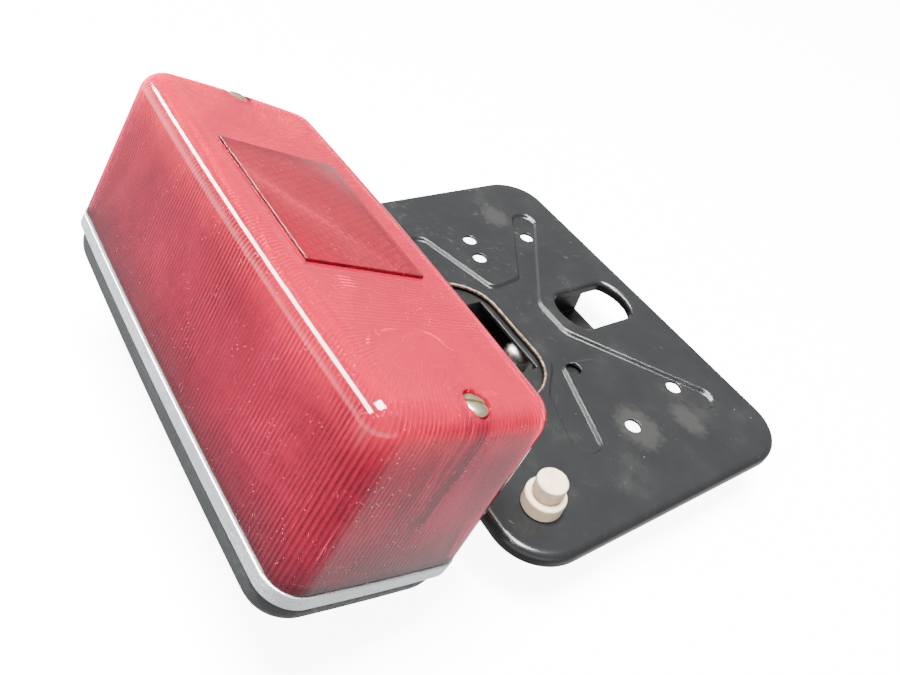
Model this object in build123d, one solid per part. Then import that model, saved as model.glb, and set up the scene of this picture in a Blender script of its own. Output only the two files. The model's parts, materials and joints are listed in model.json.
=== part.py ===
from build123d import *
import math
import os

# Motorcycle tail lamp on its pressed-steel number-plate holder, in millimetres.
#
# Row frame: +Z is the outward normal of the number-plate holder, +X runs along the lamp's length,
# and +Y runs from the lamp towards the holder's free edge. The origin is the centre of the two
# bracket holes, on the flat underside of the mudguard bracket, so the assembly stands on z = 0.
#
# Lamp frame: the lamp leans by lamp_tilt about X. Its z = 0 is the top of the bright trim ring,
# its +z points out through the lens, and its x is the row's X.

# ---------------------------------------------------------------- driving dimensions
# Number-plate holder
holder_width = 193.0
holder_length = 139.0
holder_edge_from_holes = 91.0     # free edge of the holder, measured from the bracket holes
holder_top_z = 28.0
holder_gauge = 1.2
holder_corner_r = 20.0
holder_roll_r = 3.0
holder_skirt = 5.2
bead_depth = 1.5
bead_slope = 40.0
arm_width = 13.0
window_half_x = 35.0
window_near_d = 74.5              # distances "d" run inwards from the holder's free edge
window_from_end = 21.0            # window's far edge inside the holder's lamp-side edge
window_corner_r = 20.5
d_hole_r = 18.2
d_hole_half_flat = 11.9
d_hole_d = 28.2
d_hole_lip = 5.0
d_hole_roll_r = 2.1
plate_bolt_r = 3.3
plate_bolt_pitch = 105.0
plate_bolt_d = 27.2
spare_holes = ((-57.3, 58.8), (-44.4, 61.8), (62.4, 61.4), (28.9, 64.6))

# Rubber buffers
buffer_from_side = 20.5
buffer_from_end = 20.0
buffer_collar_r = 7.4
buffer_collar_h = 6.6
buffer_neck_r = 4.9
buffer_neck_h = 1.6
buffer_head_r = 5.5
buffer_head_h = 5.6
buffer_stem_r = 3.5
buffer_foot_r = 5.6
buffer_foot_h = 2.4

# Mudguard bracket
bracket_gauge = 2.0
bracket_inner_half = 21.0
bracket_end_d = 10.7
walls_from_end = 8.0              # channel walls reach this near the holder's lamp-side edge
bracket_wall_gap = 9.0            # side walls stop this far outside the trim ring
bracket_flange = 11.0
bracket_flange_gauge = 1.6
bracket_hole_r = 4.25
bracket_hole_pitch = 50.0
strap_near_d = 56.0
strap_far_d = 76.8
cap_nut_flange_r = 8.6
cap_nut_flange_h = 1.8
cap_nut_flats = 13.0
cap_nut_h = 13.0
cap_nut_bore_depth = 9.0

# Lamp body
lamp_tilt = 22.0
lamp_height = 18.6                # trim ring's centre above the holder's face
lamp_setback = 189.2              # trim ring's centre to the holder's free edge, along Y
ring_length = 170.0
ring_width = 68.0
ring_bow = 1.2
ring_corner_r = 11.0
ring_height = 4.5
ring_gauge = 0.9
ring_lip = 2.4
gasket_h = 0.5
lens_height = 58.0                # rear face above the trim ring's top
lens_edge_inset = 0.7             # lens foot inside the ring's outline
lens_draft_x = 4.4                # rear face's half sizes, less than the ring's by this
lens_draft_y = 1.0
lens_top_bow_x = 1.6
lens_top_bow_y = 2.2
lens_corner_r = 8.5
lens_edge_r = 7.5
lens_wall = 2.6
reflex_length = 59.8
reflex_width = 42.6
reflex_raise = 1.1
reflex_depth = 5.2
reflex_x = -5.6
reflex_y = -3.4
window_length = 84.0
window_low = 9.0
window_high = 33.0
window_reach = 8.0                # window's cutter on each side of the ring's outline
screw_from_end = 9.6              # lens screws inside the ring's ends
screw_r = 2.0
screw_engagement = 12.0
screw_head_r = 3.8
screw_head_h = 2.5
screw_slot = 0.9
screw_slot_depth = 1.2
screw_well_r = 4.35
screw_well_depth = 3.1
screw_tube_r = 6.0
screw_tube_clearance = 0.35
seal_h = 0.6
base_depth = 19.5                 # lamp base's underside below the ring's top
base_wall = 2.0
base_corner_r = 14.0
base_edge_r = 13.0
post_r = 5.2
post_height = 37.0
insert_r = 3.2
insert_length = 10.0
reflector_gauge = 1.0
reflector_inset = 5.0
reflector_depth = 9.0
reflector_screw_r = 1.5
reflector_screw_head_r = 2.8
reflector_screw_head_h = 1.8
reflector_screw_slot = 0.7
reflector_screw_slot_depth = 0.8
reflector_boss_r = 3.5
pad_gauge = 2.0
pad_inset = 3.0                   # pad's ends inside the bracket's sides
pad_width = 36.0
stud_r = 2.5
bolt_head_r = 4.6
bolt_head_h = 3.0
bolt_slot = 1.2
bolt_slot_depth = 1.4
bolt_tail = 1.2
nut_flats = 8.0
nut_h = 4.0
washer_r = 5.0
washer_h = 1.0
grommet_from_end = 27.0
grommet_bore_r = 2.6
grommet_hole_r = 4.6
grommet_flange_r = 7.0
grommet_flange_h = 1.5

# Bulb and socket
bulb_cap_r = 7.5
bulb_cap_length = 16.0
bulb_glass_r = 12.0
bulb_glass_wall = 0.7
bulb_glass_centre = 24.0          # globe's centre above the ring's top
bulb_cap_low = -7.5               # cap's lower end at rest
pin_r = 1.0
pin_reach = 8.7
pin_above_cap_end = 5.0
socket_bore_r = 7.85
socket_gauge = 0.9
socket_top = 5.0
bulb_push = 2.0
bulb_turn = 20.0
slot_clearance = 0.35
insulator_plug_h = 1.5
insulator_rim = 1.2
contact_disc_r = 7.2
contact_disc_h = 2.0
contact_r = 1.6
contact_h = 0.6
contact_x = 3.2
spring_wire_r = 0.35
spring_r = 4.6
spring_turns = 3
terminal_block_half = 3.5
terminal_block_h = 2.5
terminal_pitch = 7.5
terminal_width = 6.3
terminal_gauge = 0.8
terminal_height = 6.0
terminal_hole_r = 0.8

# Named clearances
slide_gap = 0.3
screw_gap = 0.05
seat_gap = 0.15
head_gap = 0.45                   # between a base bolt's head and the insulator's foot
block_gap = 0.9                   # between a base bolt's head and the terminal block
boss_gap = 1.0                    # between the terminal block and a reflector boss

# ---------------------------------------------------------------- places that follow from them
ring_half_x = ring_length / 2
ring_half_y = ring_width / 2
window_far_d = holder_length - window_from_end
buffer_x = holder_width / 2 - buffer_from_side
buffer_d = holder_length - buffer_from_end
bracket_walls_end_d = holder_length - walls_from_end
lamp_origin = (0, holder_edge_from_holes - lamp_setback, holder_top_z + lamp_height)
lamp_sin = math.sin(math.radians(lamp_tilt))
lamp_cos = math.cos(math.radians(lamp_tilt))
lamp_plane = Plane(origin=lamp_origin, x_dir=(1, 0, 0), z_dir=(0, lamp_sin, lamp_cos))
flange_top_z = holder_top_z - holder_gauge - bead_depth
flange_low_z = flange_top_z - bracket_flange_gauge
bracket_outer_half = bracket_inner_half + bracket_gauge
pad_length = 2 * (bracket_outer_half - pad_inset)
base_floor_z = base_wall - base_depth
base_half_x = ring_half_x - ring_gauge - seat_gap
base_half_y = ring_half_y - ring_gauge - seat_gap
seat_z = -base_depth - pad_gauge
screw_seat_z = lens_height - screw_well_depth
screw_head_z = screw_seat_z + seal_h
post_top_z = base_floor_z + post_height
screw_tip_z = post_top_z - screw_engagement
screw_x = ring_half_x - screw_from_end
lens_top_half_x = ring_half_x - lens_draft_x
lens_top_half_y = ring_half_y - lens_draft_y
grommet_x = grommet_from_end - ring_half_x
socket_low_z = base_floor_z + insulator_plug_h
socket_outer_r = socket_bore_r + socket_gauge
insulator_foot_r = socket_outer_r + insulator_rim
stud_x = insulator_foot_r + head_gap + bolt_head_r
terminal_x = stud_x + bolt_head_r + block_gap + terminal_block_half
reflector_screw_x = terminal_x + terminal_block_half + boss_gap + reflector_boss_r
pin_z = bulb_cap_low + pin_above_cap_end
disc_top_z = bulb_cap_low - contact_h
disc_low_z = disc_top_z - contact_disc_h


def y_at(d):
    """Row y of a line at distance d inside the holder's free edge."""
    return holder_edge_from_holes - d


def in_lamp(shape):
    """Move a shape from the lamp's own frame into the row frame."""
    return lamp_plane.location * shape


def barrel_face(half_x, half_y, bow_x, bow_y, corner_r):
    """A rectangle with outward-bowed sides and round corners, on z = 0."""
    left_low, right_low = (-half_x, -half_y), (half_x, -half_y)
    left_high, right_high = (-half_x, half_y), (half_x, half_y)
    sides = [
        ThreePointArc(left_low, (0, -half_y - bow_y), right_low),
        ThreePointArc(right_low, (half_x + bow_x, 0), right_high),
        ThreePointArc(right_high, (0, half_y + bow_y), left_high),
        ThreePointArc(left_high, (-half_x - bow_x, 0), left_low),
    ]
    sketch = make_face(Curve() + sides)
    return fillet(sketch.vertices(), corner_r)


def end_bow(bow, half_x, half_y):
    """Bow of the short side that has about the long side's curvature."""
    return bow * (half_y / half_x)


def ring_outline(inset, corner_r):
    """The trim ring's outline, moved inwards."""
    half_x, half_y = ring_half_x - inset, ring_half_y - inset
    return barrel_face(half_x, half_y, end_bow(ring_bow, half_x, half_y), ring_bow, corner_r)


def prism(face, low, high):
    """A straight prism of a face between two heights."""
    return extrude(Pos(0, 0, low) * face, high - low, dir=(0, 0, 1))


def rod(radius, low, high, x=0.0, y=0.0):
    """A cylinder along z between two heights."""
    return Pos(x, y, (low + high) / 2) * Cylinder(radius, high - low)


def block(x0, x1, y0, y1, z0, z1):
    """A box given by its limits."""
    centre = Pos((x0 + x1) / 2, (y0 + y1) / 2, (z0 + z1) / 2)
    return centre * Box(x1 - x0, y1 - y0, z1 - z0)


def hexagon(across_flats, low, high, x=0.0, y=0.0):
    """A hexagonal prism along z."""
    return Pos(x, y, 0) * prism(RegularPolygon(across_flats / math.sqrt(3), 6), low, high)


def edges_at(shape, height):
    """Edges that lie wholly at one height."""
    return [e for e in shape.edges() if abs(e.bounding_box().min.Z - height) < 1e-3
            and abs(e.bounding_box().max.Z - height) < 1e-3]


# ---------------------------------------------------------------- number-plate holder
def holder_outline(inset):
    """The holder's rounded rectangle, seen from above."""
    face = RectangleRounded(holder_width - 2 * inset, holder_length - 2 * inset, holder_corner_r - inset)
    return Pos(0, y_at(holder_length / 2), 0) * face


def bead_face():
    """The cross-shaped pressing: four arms that meet above the large window."""
    long_arm, short_arm = (0.829, -0.559), (0.964, 0.266)
    arm_half = arm_width / 2

    def arm_end(centre, along):
        """Outer corners of an arm that ends round a centre, first the one nearer the free edge."""
        normal = (-along[1], along[0])
        tip = (centre[0] + along[0] * arm_half, centre[1] + along[1] * arm_half)
        near = (tip[0] - normal[0] * arm_half, tip[1] - normal[1] * arm_half)
        far = (tip[0] + normal[0] * arm_half, tip[1] + normal[1] * arm_half)
        return near, far

    upper_near, upper_far = arm_end((62.3, 22.2), long_arm)
    lower_near, lower_far = arm_end((60.3, 84.9), short_arm)
    cap_r = arm_half * 0.96
    half = [((9.0, 52.5), 9.0), (upper_near, cap_r), (upper_far, cap_r), ((27.6, 51.8), 3.5),
            ((25.4, 67.3), 3.5), (lower_near, cap_r), (lower_far, cap_r), ((36.0, 84.0), 8.0),
            ((22.0, window_near_d - 3.6), 12.0)]
    right = [((x, y_at(d)), r) for (x, d), r in half]
    left = [((-x, y_at(d)), r) for (x, d), r in reversed(half)]
    corners = right + left
    points = [point for point, radius in corners]
    radii = [radius for point, radius in corners]
    return make_face(FilletPolyline(*points, radius=radii, close=True))


def double_d(radius, half_flat):
    """A circle with two flats that run along Y."""
    face = Circle(radius) & Rectangle(2 * half_flat, 2 * radius + 1)
    face = fillet(face.vertices(), 4.0)
    return Pos(0, y_at(d_hole_d), 0) * face


def window_face(inset):
    """The large window that the mudguard bolts are reached through."""
    length = window_far_d - window_near_d - 2 * inset
    face = RectangleRounded(2 * (window_half_x - inset), length, window_corner_r - inset)
    return Pos(0, y_at((window_near_d + window_far_d) / 2), 0) * face


def number_plate_holder():
    low = holder_top_z - holder_skirt
    shell = prism(holder_outline(0), low, holder_top_z)
    shell = fillet(edges_at(shell, holder_top_z), holder_roll_r)
    hollow = prism(holder_outline(holder_gauge), low - 1, holder_top_z - holder_gauge)
    hollow = fillet(edges_at(hollow, holder_top_z - holder_gauge), holder_roll_r - holder_gauge)
    plate = shell - hollow
    bead = extrude(Pos(0, 0, holder_top_z) * bead_face(), bead_depth, dir=(0, 0, -1), taper=bead_slope)
    plate = plate + Pos(0, 0, -holder_gauge) * bead - bead
    lip = prism(double_d(d_hole_r + holder_gauge, d_hole_half_flat + holder_gauge),
                holder_top_z - d_hole_lip, holder_top_z - holder_gauge / 2)
    plate = plate + lip - prism(double_d(d_hole_r, d_hole_half_flat), low - 2, holder_top_z + 1)
    rim = [e for e in edges_at(plate, holder_top_z)
           if abs(e.center().X) < d_hole_r and abs(e.center().Y - y_at(d_hole_d)) < d_hole_r + 0.5]
    plate = fillet(rim, d_hole_roll_r)
    plate -= prism(window_face(0), low - 2, holder_top_z + 1)
    holes = [(-plate_bolt_pitch / 2, plate_bolt_d), (plate_bolt_pitch / 2, plate_bolt_d), *spare_holes]
    for x, d in holes:
        plate -= rod(plate_bolt_r, low - 2, holder_top_z + 1, x, y_at(d))
    for x in (-buffer_x, buffer_x):
        plate -= rod(buffer_stem_r, low - 2, holder_top_z + 1, x, y_at(buffer_d))
    return plate


def rubber_buffers():
    """Two-step rubber buffers, pushed through the holder and held by a foot below it."""
    collar_top = holder_top_z + buffer_collar_h
    head_low = collar_top + buffer_neck_h
    under = holder_top_z - holder_gauge
    buffers = []
    for x in (-buffer_x, buffer_x):
        collar = fillet(rod(buffer_collar_r, holder_top_z, collar_top).edges(), 0.9)
        head = rod(buffer_head_r, head_low, head_low + buffer_head_h)
        head = fillet(edges_at(head, head_low + buffer_head_h), 0.8)
        body = collar + head + rod(buffer_neck_r, collar_top - 1, head_low + 1)
        body += rod(buffer_stem_r, under - 1, holder_top_z + 1)
        body += rod(buffer_foot_r, under - buffer_foot_h, under)
        buffers.append(Pos(x, y_at(buffer_d), 0) * body)
    return Compound(children=buffers)


# ---------------------------------------------------------------- mudguard bracket
def seat_point(lamp_y, rise):
    """Row (y, z) of a point above the lamp's seat plane, at a lamp y."""
    lamp_z = seat_z + rise
    return (lamp_origin[1] + lamp_y * lamp_cos + lamp_z * lamp_sin,
            lamp_origin[2] - lamp_y * lamp_sin + lamp_z * lamp_cos)


def bend_at(rise, height):
    """Row y where a plane parallel to the seat meets a height above the ground."""
    seat_y, seat_height = seat_point(0, rise)
    return seat_y + (seat_height - height) * lamp_cos / lamp_sin


def side_plate(points, x0, x1):
    """A polygon in the YZ plane, made a plate between two x values."""
    face = make_face(Polyline(*points, close=True))
    return Pos(x0, 0, 0) * extrude(Plane.YZ * face, x1 - x0, dir=(1, 0, 0))


def mudguard_bracket():
    """A hat-section channel under the holder, with a tongue bent up to carry the lamp."""
    end_y, walls_y = y_at(bracket_end_d), y_at(bracket_walls_end_d)
    tongue_end = -pad_width / 2
    strip = [(end_y, 0), (bend_at(-bracket_gauge, 0), 0), seat_point(tongue_end, -bracket_gauge),
             seat_point(tongue_end, 0), (bend_at(0, bracket_gauge), bracket_gauge), (end_y, bracket_gauge)]
    body = side_plate(strip, -bracket_outer_half, bracket_outer_half)
    mid_gauge = bracket_gauge / 2
    wall = [(end_y, mid_gauge), (bend_at(-mid_gauge, mid_gauge), mid_gauge),
            seat_point(ring_half_y + bracket_wall_gap, -mid_gauge), (walls_y, flange_top_z),
            (end_y, flange_top_z)]
    for side in (-1, 1):
        x_pair = sorted((side * bracket_inner_half, side * bracket_outer_half))
        body += side_plate(wall, *x_pair)
        x_pair = sorted((side * bracket_inner_half, side * (bracket_outer_half + bracket_flange)))
        body += block(*x_pair, walls_y, end_y, flange_low_z, flange_top_z)
    for y in (-bracket_hole_pitch / 2, bracket_hole_pitch / 2):
        body -= rod(bracket_hole_r, -1, bracket_gauge + 1, 0, y)
    for x in (-stud_x, stud_x):
        body -= in_lamp(rod(stud_r + slide_gap, seat_z - bracket_gauge - 1, seat_z + 1, x))
    return body


def bridge_strap():
    """Flat strap welded across the channel under the bead, at the window's edge."""
    return block(-bracket_inner_half, bracket_inner_half, y_at(strap_far_d), y_at(strap_near_d),
                 flange_low_z, flange_top_z)


def captive_cap_nuts():
    """Domed flange nuts on the channel floor, above the two mudguard bolt holes."""
    nuts = []
    low = bracket_gauge
    for y in (-bracket_hole_pitch / 2, bracket_hole_pitch / 2):
        dome_r = cap_nut_flats / 2 - 0.3
        nut = rod(cap_nut_flange_r, low, low + cap_nut_flange_h)
        nut += hexagon(cap_nut_flats, low, low + cap_nut_h - dome_r)
        nut += Pos(0, 0, low + cap_nut_h - dome_r) * Sphere(dome_r)
        nut -= rod(bracket_hole_r, low - 1, low + cap_nut_bore_depth)
        nuts.append(Pos(0, y, 0) * nut)
    return Compound(children=nuts)


# ---------------------------------------------------------------- lamp base and what it carries
def bowl(half_x, half_y, corner_r, edge_r, low, high):
    """A tray-shaped solid with a round lower edge."""
    face = barrel_face(half_x, half_y, end_bow(ring_bow, half_x, half_y), ring_bow, corner_r)
    body = prism(face, low, high)
    return fillet(edges_at(body, low), edge_r)


def lamp_base():
    """Bowl-shaped lamp body with two screw posts, two reflector bosses and its bolt holes."""
    top = -ring_gauge
    body = bowl(base_half_x, base_half_y, base_corner_r, base_edge_r, -base_depth, top)
    body -= bowl(base_half_x - base_wall, base_half_y - base_wall, base_corner_r - base_wall,
                 base_edge_r - base_wall, base_floor_z, top + 1)
    inside = bowl(base_half_x - base_wall / 2, base_half_y - base_wall / 2, base_corner_r - base_wall / 2,
                  base_edge_r - base_wall / 2, -base_depth + base_wall / 2, post_top_z + 1)
    for x in (-screw_x, screw_x):
        body += rod(post_r, -base_depth, post_top_z, x) & inside
        body -= rod(screw_r + slide_gap, base_floor_z + 3, post_top_z + 1, x)
        body -= rod(insert_r, post_top_z - insert_length, post_top_z + 1, x)
    for x in (-reflector_screw_x, reflector_screw_x):
        body += rod(reflector_boss_r, base_floor_z - 0.5, reflector_floor_low(), x)
        body -= rod(reflector_screw_r, base_floor_z + 1, reflector_floor_low() + 1, x)
    for x in (-stud_x, stud_x):
        body -= rod(stud_r + seat_gap, -base_depth - 1, base_floor_z + 1, x)
    body -= rod(grommet_hole_r, -base_depth - 1, base_floor_z + 1, grommet_x)
    return body


def reflector_floor_low():
    """Underside of the reflector's floor."""
    return -ring_gauge - reflector_depth


def trim_ring():
    """Bright L-section ring: an outer band with a lip turned in over the base's rim."""
    body = prism(ring_outline(0, ring_corner_r), -ring_height, 0)
    body -= prism(ring_outline(ring_gauge, ring_corner_r - ring_gauge), -ring_height - 1, -ring_gauge)
    body -= prism(ring_outline(ring_lip, ring_corner_r - ring_lip), -ring_height - 1, 1)
    within = prism(ring_outline(ring_lip / 2, ring_corner_r - ring_lip / 2), -1, 1)
    outer = [e for e in edges_at(body, 0) if not within.is_inside(e.position_at(0.5))]
    return fillet(outer, ring_gauge / 2)


def lens_gasket():
    """Thin seal between the lens foot and the ring's lip."""
    body = prism(ring_outline(lens_edge_inset + 0.2, ring_corner_r - 1.5), 0, gasket_h)
    return body - prism(ring_outline(lens_edge_inset + 2.4, ring_corner_r - 3.5), -1, gasket_h + 1)


def reflector():
    """Pressed reflector tray inside the rim, open for the socket and the screw posts."""
    half_x, half_y = base_half_x - base_wall - slide_gap, base_half_y - base_wall - slide_gap
    rim_z, floor_z = -ring_gauge - reflector_gauge, reflector_floor_low()
    corner = base_corner_r - base_wall - slide_gap

    def tray(inset, low, high):
        """One skin of the tray, tapering inwards to its floor."""
        skins = []
        for level, share, corner_r in ((low, 2, 6.0), (high, 1, 8.0)):
            shrink = share * reflector_inset + inset
            face = RectangleRounded(2 * (half_x - shrink), 2 * (half_y - shrink), corner_r)
            skins.append(Pos(0, 0, level) * face)
        return loft(skins)

    rim = prism(barrel_face(half_x, half_y, end_bow(ring_bow, half_x, half_y), ring_bow, corner),
                rim_z, rim_z + reflector_gauge)
    body = rim + tray(0, floor_z, rim_z + reflector_gauge)
    body -= tray(reflector_gauge, floor_z + reflector_gauge, rim_z + reflector_gauge + 0.01)
    body -= rod(socket_outer_r + slide_gap, floor_z - 1, 1)
    for x in (-screw_x, screw_x):
        body -= rod(screw_tube_r + 2 * slide_gap, floor_z - 1, 1, x)
    for x in (-reflector_screw_x, reflector_screw_x):
        body -= rod(reflector_screw_r + seat_gap, floor_z - 1, 1, x)
    return body


def reflector_screws():
    """Two short pan-head screws that hold the reflector to its bosses."""
    top = reflector_floor_low() + reflector_gauge
    screws = []
    for x in (-reflector_screw_x, reflector_screw_x):
        head_top = top + reflector_screw_head_h
        head = fillet(edges_at(rod(reflector_screw_head_r, top, head_top), head_top), 0.8)
        shank = rod(reflector_screw_r, base_floor_z + 2, top + 0.5)
        slot = block(-reflector_screw_head_r - 1, reflector_screw_head_r + 1,
                     -reflector_screw_slot / 2, reflector_screw_slot / 2,
                     head_top - reflector_screw_slot_depth, head_top + 1)
        screws.append(Pos(x, 0, 0) * (head + shank - slot))
    return Compound(children=screws)


def post_inserts():
    """Threaded brass bushes in the tops of the two screw posts."""
    bushes = []
    for x in (-screw_x, screw_x):
        bush = rod(insert_r, post_top_z - insert_length, post_top_z, x)
        bushes.append(bush - rod(screw_r + screw_gap, post_top_z - insert_length - 1, post_top_z + 1, x))
    return Compound(children=bushes)


def base_pad():
    """Rubber pad between the lamp base and the bracket's tongue."""
    body = prism(RectangleRounded(pad_length, pad_width, 4), seat_z, -base_depth)
    for x in (-stud_x, stud_x):
        body -= rod(stud_r + seat_gap, seat_z - 1, 0, x)
    return body


def base_bolts():
    """Two pan-head bolts through the lamp base, the pad and the tongue."""
    nut_low = seat_z - bracket_gauge - washer_h - nut_h
    head_top = base_floor_z + bolt_head_h
    bolts = []
    for x in (-stud_x, stud_x):
        head = fillet(edges_at(rod(bolt_head_r, base_floor_z, head_top), head_top), 1.2)
        slot = block(-bolt_head_r - 1, bolt_head_r + 1, -bolt_slot / 2, bolt_slot / 2,
                     head_top - bolt_slot_depth, head_top + 1)
        bolts.append(Pos(x, 0, 0) * (head + rod(stud_r, nut_low - bolt_tail, base_floor_z + 1) - slot))
    return Compound(children=bolts)


def base_washers():
    """Plain washers under the tongue."""
    top = seat_z - bracket_gauge
    rings = [rod(washer_r, top - washer_h, top, x) - rod(stud_r + seat_gap, top - 5, top + 1, x)
             for x in (-stud_x, stud_x)]
    return Compound(children=rings)


def base_nuts():
    """Hexagon nuts on the base bolts."""
    top = seat_z - bracket_gauge - washer_h
    nuts = [hexagon(nut_flats, top - nut_h, top, x) - rod(stud_r, top - nut_h - 1, top + 1, x)
            for x in (-stud_x, stud_x)]
    return Compound(children=nuts)


def wire_grommet():
    """Rubber grommet that lines the cable inlet in the base."""
    body = rod(grommet_flange_r, -base_depth - grommet_flange_h, -base_depth, grommet_x)
    body += rod(grommet_hole_r, -base_depth - 0.1, base_floor_z + 0.1, grommet_x)
    body += rod(grommet_flange_r - 1, base_floor_z, base_floor_z + grommet_flange_h, grommet_x)
    body = fillet(edges_at(body, -base_depth - grommet_flange_h), 0.6)
    return body - rod(grommet_bore_r, -base_depth - 5, base_floor_z + 5, grommet_x)


# ---------------------------------------------------------------- socket and bulb
def bulb_socket():
    """Bayonet shell with two slots, closed below by the insulator."""
    outer_r = socket_outer_r
    body = rod(outer_r, socket_low_z, socket_top) - rod(socket_bore_r, socket_low_z - 1, socket_top + 1)
    half = pin_r + slot_clearance
    steps = 8
    for step in range(steps + 1):
        angle = bulb_turn * step / steps
        slot = block(-outer_r - 1, outer_r + 1, -half, half, pin_z - bulb_push - half, pin_z + half)
        body -= Rot(0, 0, angle) * slot
    entry = block(-outer_r - 1, outer_r + 1, -half, half, pin_z - bulb_push - half, socket_top + 1)
    return body - Rot(0, 0, bulb_turn) * entry


def socket_insulator():
    """Moulded block under the socket: it stands on the base's floor and guides nothing that moves."""
    plug = rod(socket_bore_r, socket_low_z, socket_low_z + insulator_plug_h)
    foot = rod(insulator_foot_r, base_floor_z, socket_low_z)
    return plug + foot


def terminal_block():
    """Insulating strip that carries the three spade terminals."""
    width = 2 * terminal_pitch + terminal_width + 3
    body = block(terminal_x - terminal_block_half, terminal_x + terminal_block_half, -width / 2, width / 2,
                 base_floor_z, base_floor_z + terminal_block_h)
    body = fillet(body.edges().filter_by(Axis.Z), 1.2)
    for y in (-terminal_pitch, 0, terminal_pitch):
        body -= block(terminal_x - terminal_gauge / 2, terminal_x + terminal_gauge / 2,
                      y - terminal_width / 2, y + terminal_width / 2, base_floor_z + 1, base_floor_z + 4)
    return body


def terminal_tabs():
    """Three spade terminals: tail, stop and earth."""
    tabs = []
    low = base_floor_z + 1
    for y in (-terminal_pitch, 0, terminal_pitch):
        tab = block(terminal_x - terminal_gauge / 2, terminal_x + terminal_gauge / 2,
                    y - terminal_width / 2, y + terminal_width / 2, low, low + terminal_height)
        tab = chamfer(edges_at(tab, low + terminal_height), 0.3)
        hole = Pos(terminal_x, y, low + terminal_height - 2.5) * Rot(0, 90, 0) * Cylinder(terminal_hole_r, 4)
        tabs.append(tab - hole)
    return Compound(children=tabs)


def contact_spring():
    """Compression spring under the contact disc."""
    low = socket_low_z + insulator_plug_h
    height = disc_low_z - low - 2 * spring_wire_r
    path = Pos(0, 0, low + spring_wire_r) * Helix(height / spring_turns, height, spring_r)
    start = path @ 0
    section = Plane(origin=start, z_dir=path % 0) * Circle(spring_wire_r)
    return sweep(section, path=path)


def contact_disc():
    """Sprung insulating disc with two raised brass contacts."""
    body = rod(contact_disc_r, disc_low_z, disc_top_z)
    return fillet(edges_at(body, disc_low_z), 0.5)


def disc_contacts():
    """Contact buttons on the disc."""
    return Compound(children=[rod(contact_r, disc_top_z, disc_top_z + contact_h / 2, x)
                              for x in (-contact_x, contact_x)])


def bulb_cap():
    """Bayonet cap with its two pins."""
    body = rod(bulb_cap_r, bulb_cap_low, bulb_cap_low + bulb_cap_length)
    body -= rod(bulb_cap_r - 0.6, bulb_cap_low + 1, bulb_cap_low + bulb_cap_length + 1)
    pins = Pos(0, 0, pin_z) * Rot(0, 90, 0) * Cylinder(pin_r, 2 * pin_reach)
    pins -= rod(bulb_cap_r - 0.3, pin_z - 2, pin_z + 2)
    return body + pins


def bulb_contacts():
    """The two solder contacts under the cap."""
    return Compound(children=[rod(contact_r, bulb_cap_low - contact_h / 2, bulb_cap_low, x)
                              for x in (-contact_x, contact_x)])


def bulb_glass():
    """Blown globe with a neck that is cemented into the cap."""
    neck_low = bulb_cap_low + 2
    neck_r = bulb_cap_r - 0.8
    outer = Pos(0, 0, bulb_glass_centre) * Sphere(bulb_glass_r) + rod(neck_r, neck_low, bulb_glass_centre)
    inner = Pos(0, 0, bulb_glass_centre) * Sphere(bulb_glass_r - bulb_glass_wall)
    inner += rod(neck_r - bulb_glass_wall, neck_low + 2, bulb_glass_centre)
    return outer - inner


def bulb_filaments():
    """Two coiled filaments, shown as fine bars, on their support wires."""
    pieces = []
    for y, height in ((-1.8, bulb_glass_centre - 1), (1.8, bulb_glass_centre + 3)):
        bar = Pos(0, y, height) * Rot(0, 90, 0) * Cylinder(0.5, 7)
        legs = [rod(0.3, bulb_cap_low + 4, height, x, y) for x in (-contact_x, contact_x)]
        pieces.append(bar + legs)
    return Compound(children=pieces)


# ---------------------------------------------------------------- lens and what rides on it
def lens_solid(inset, corner_r, edge_r):
    """The lens's outer form, or its hollow when inset by the wall."""
    foot_half_x = ring_half_x - lens_edge_inset - inset
    foot_half_y = ring_half_y - lens_edge_inset - inset
    foot_end_bow = end_bow(ring_bow, foot_half_x, foot_half_y)
    foot = barrel_face(foot_half_x, foot_half_y, foot_end_bow, ring_bow, corner_r)
    crown = barrel_face(lens_top_half_x - inset, lens_top_half_y - inset,
                        lens_top_bow_x, lens_top_bow_y, corner_r)
    top = lens_height - inset
    low = gasket_h if inset == 0 else gasket_h - 0.01
    body = loft([Pos(0, 0, low) * foot, Pos(0, 0, top) * crown])
    return fillet(edges_at(body, top), edge_r)


def reflex_box(grow, low, high):
    """The reflex reflector's block."""
    return block(reflex_x - reflex_length / 2 - grow, reflex_x + reflex_length / 2 + grow,
                 reflex_y - reflex_width / 2 - grow, reflex_y + reflex_width / 2 + grow, low, high)


def plate_window_box():
    """Space of the clear window in the lens wall that faces the number plate."""
    return block(-window_length / 2, window_length / 2,
                 ring_half_y - window_reach, ring_half_y + window_reach, window_low, window_high)


def lens_shell():
    """Closed lens wall before its openings are cut."""
    return lens_solid(0, lens_corner_r, lens_edge_r) - lens_solid(lens_wall, lens_corner_r - lens_wall,
                                                                  lens_edge_r - lens_wall)


def lens():
    """Red moulded lens with screw tubes, the reflex opening and the plate-light opening."""
    body = lens_shell()
    outer = lens_solid(0.5, lens_corner_r - 0.5, lens_edge_r - 0.5)
    for x in (-screw_x, screw_x):
        body += rod(screw_tube_r, post_top_z + slide_gap, lens_height - 1, x) & outer
    for x in (-screw_x, screw_x):
        body -= rod(screw_r + screw_tube_clearance, post_top_z - 1, lens_height + 1, x)
        body -= rod(screw_well_r, screw_seat_z, lens_height + 1, x)
    body -= reflex_box(0, lens_height - reflex_depth - 1, lens_height + 2)
    return body - plate_window_box()


def reflex_reflector():
    """Square-edged reflex block set into the rear face and standing a little proud."""
    body = reflex_box(0, lens_height - reflex_depth, lens_height + reflex_raise)
    return fillet(edges_at(body, lens_height + reflex_raise), 0.35)


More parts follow.
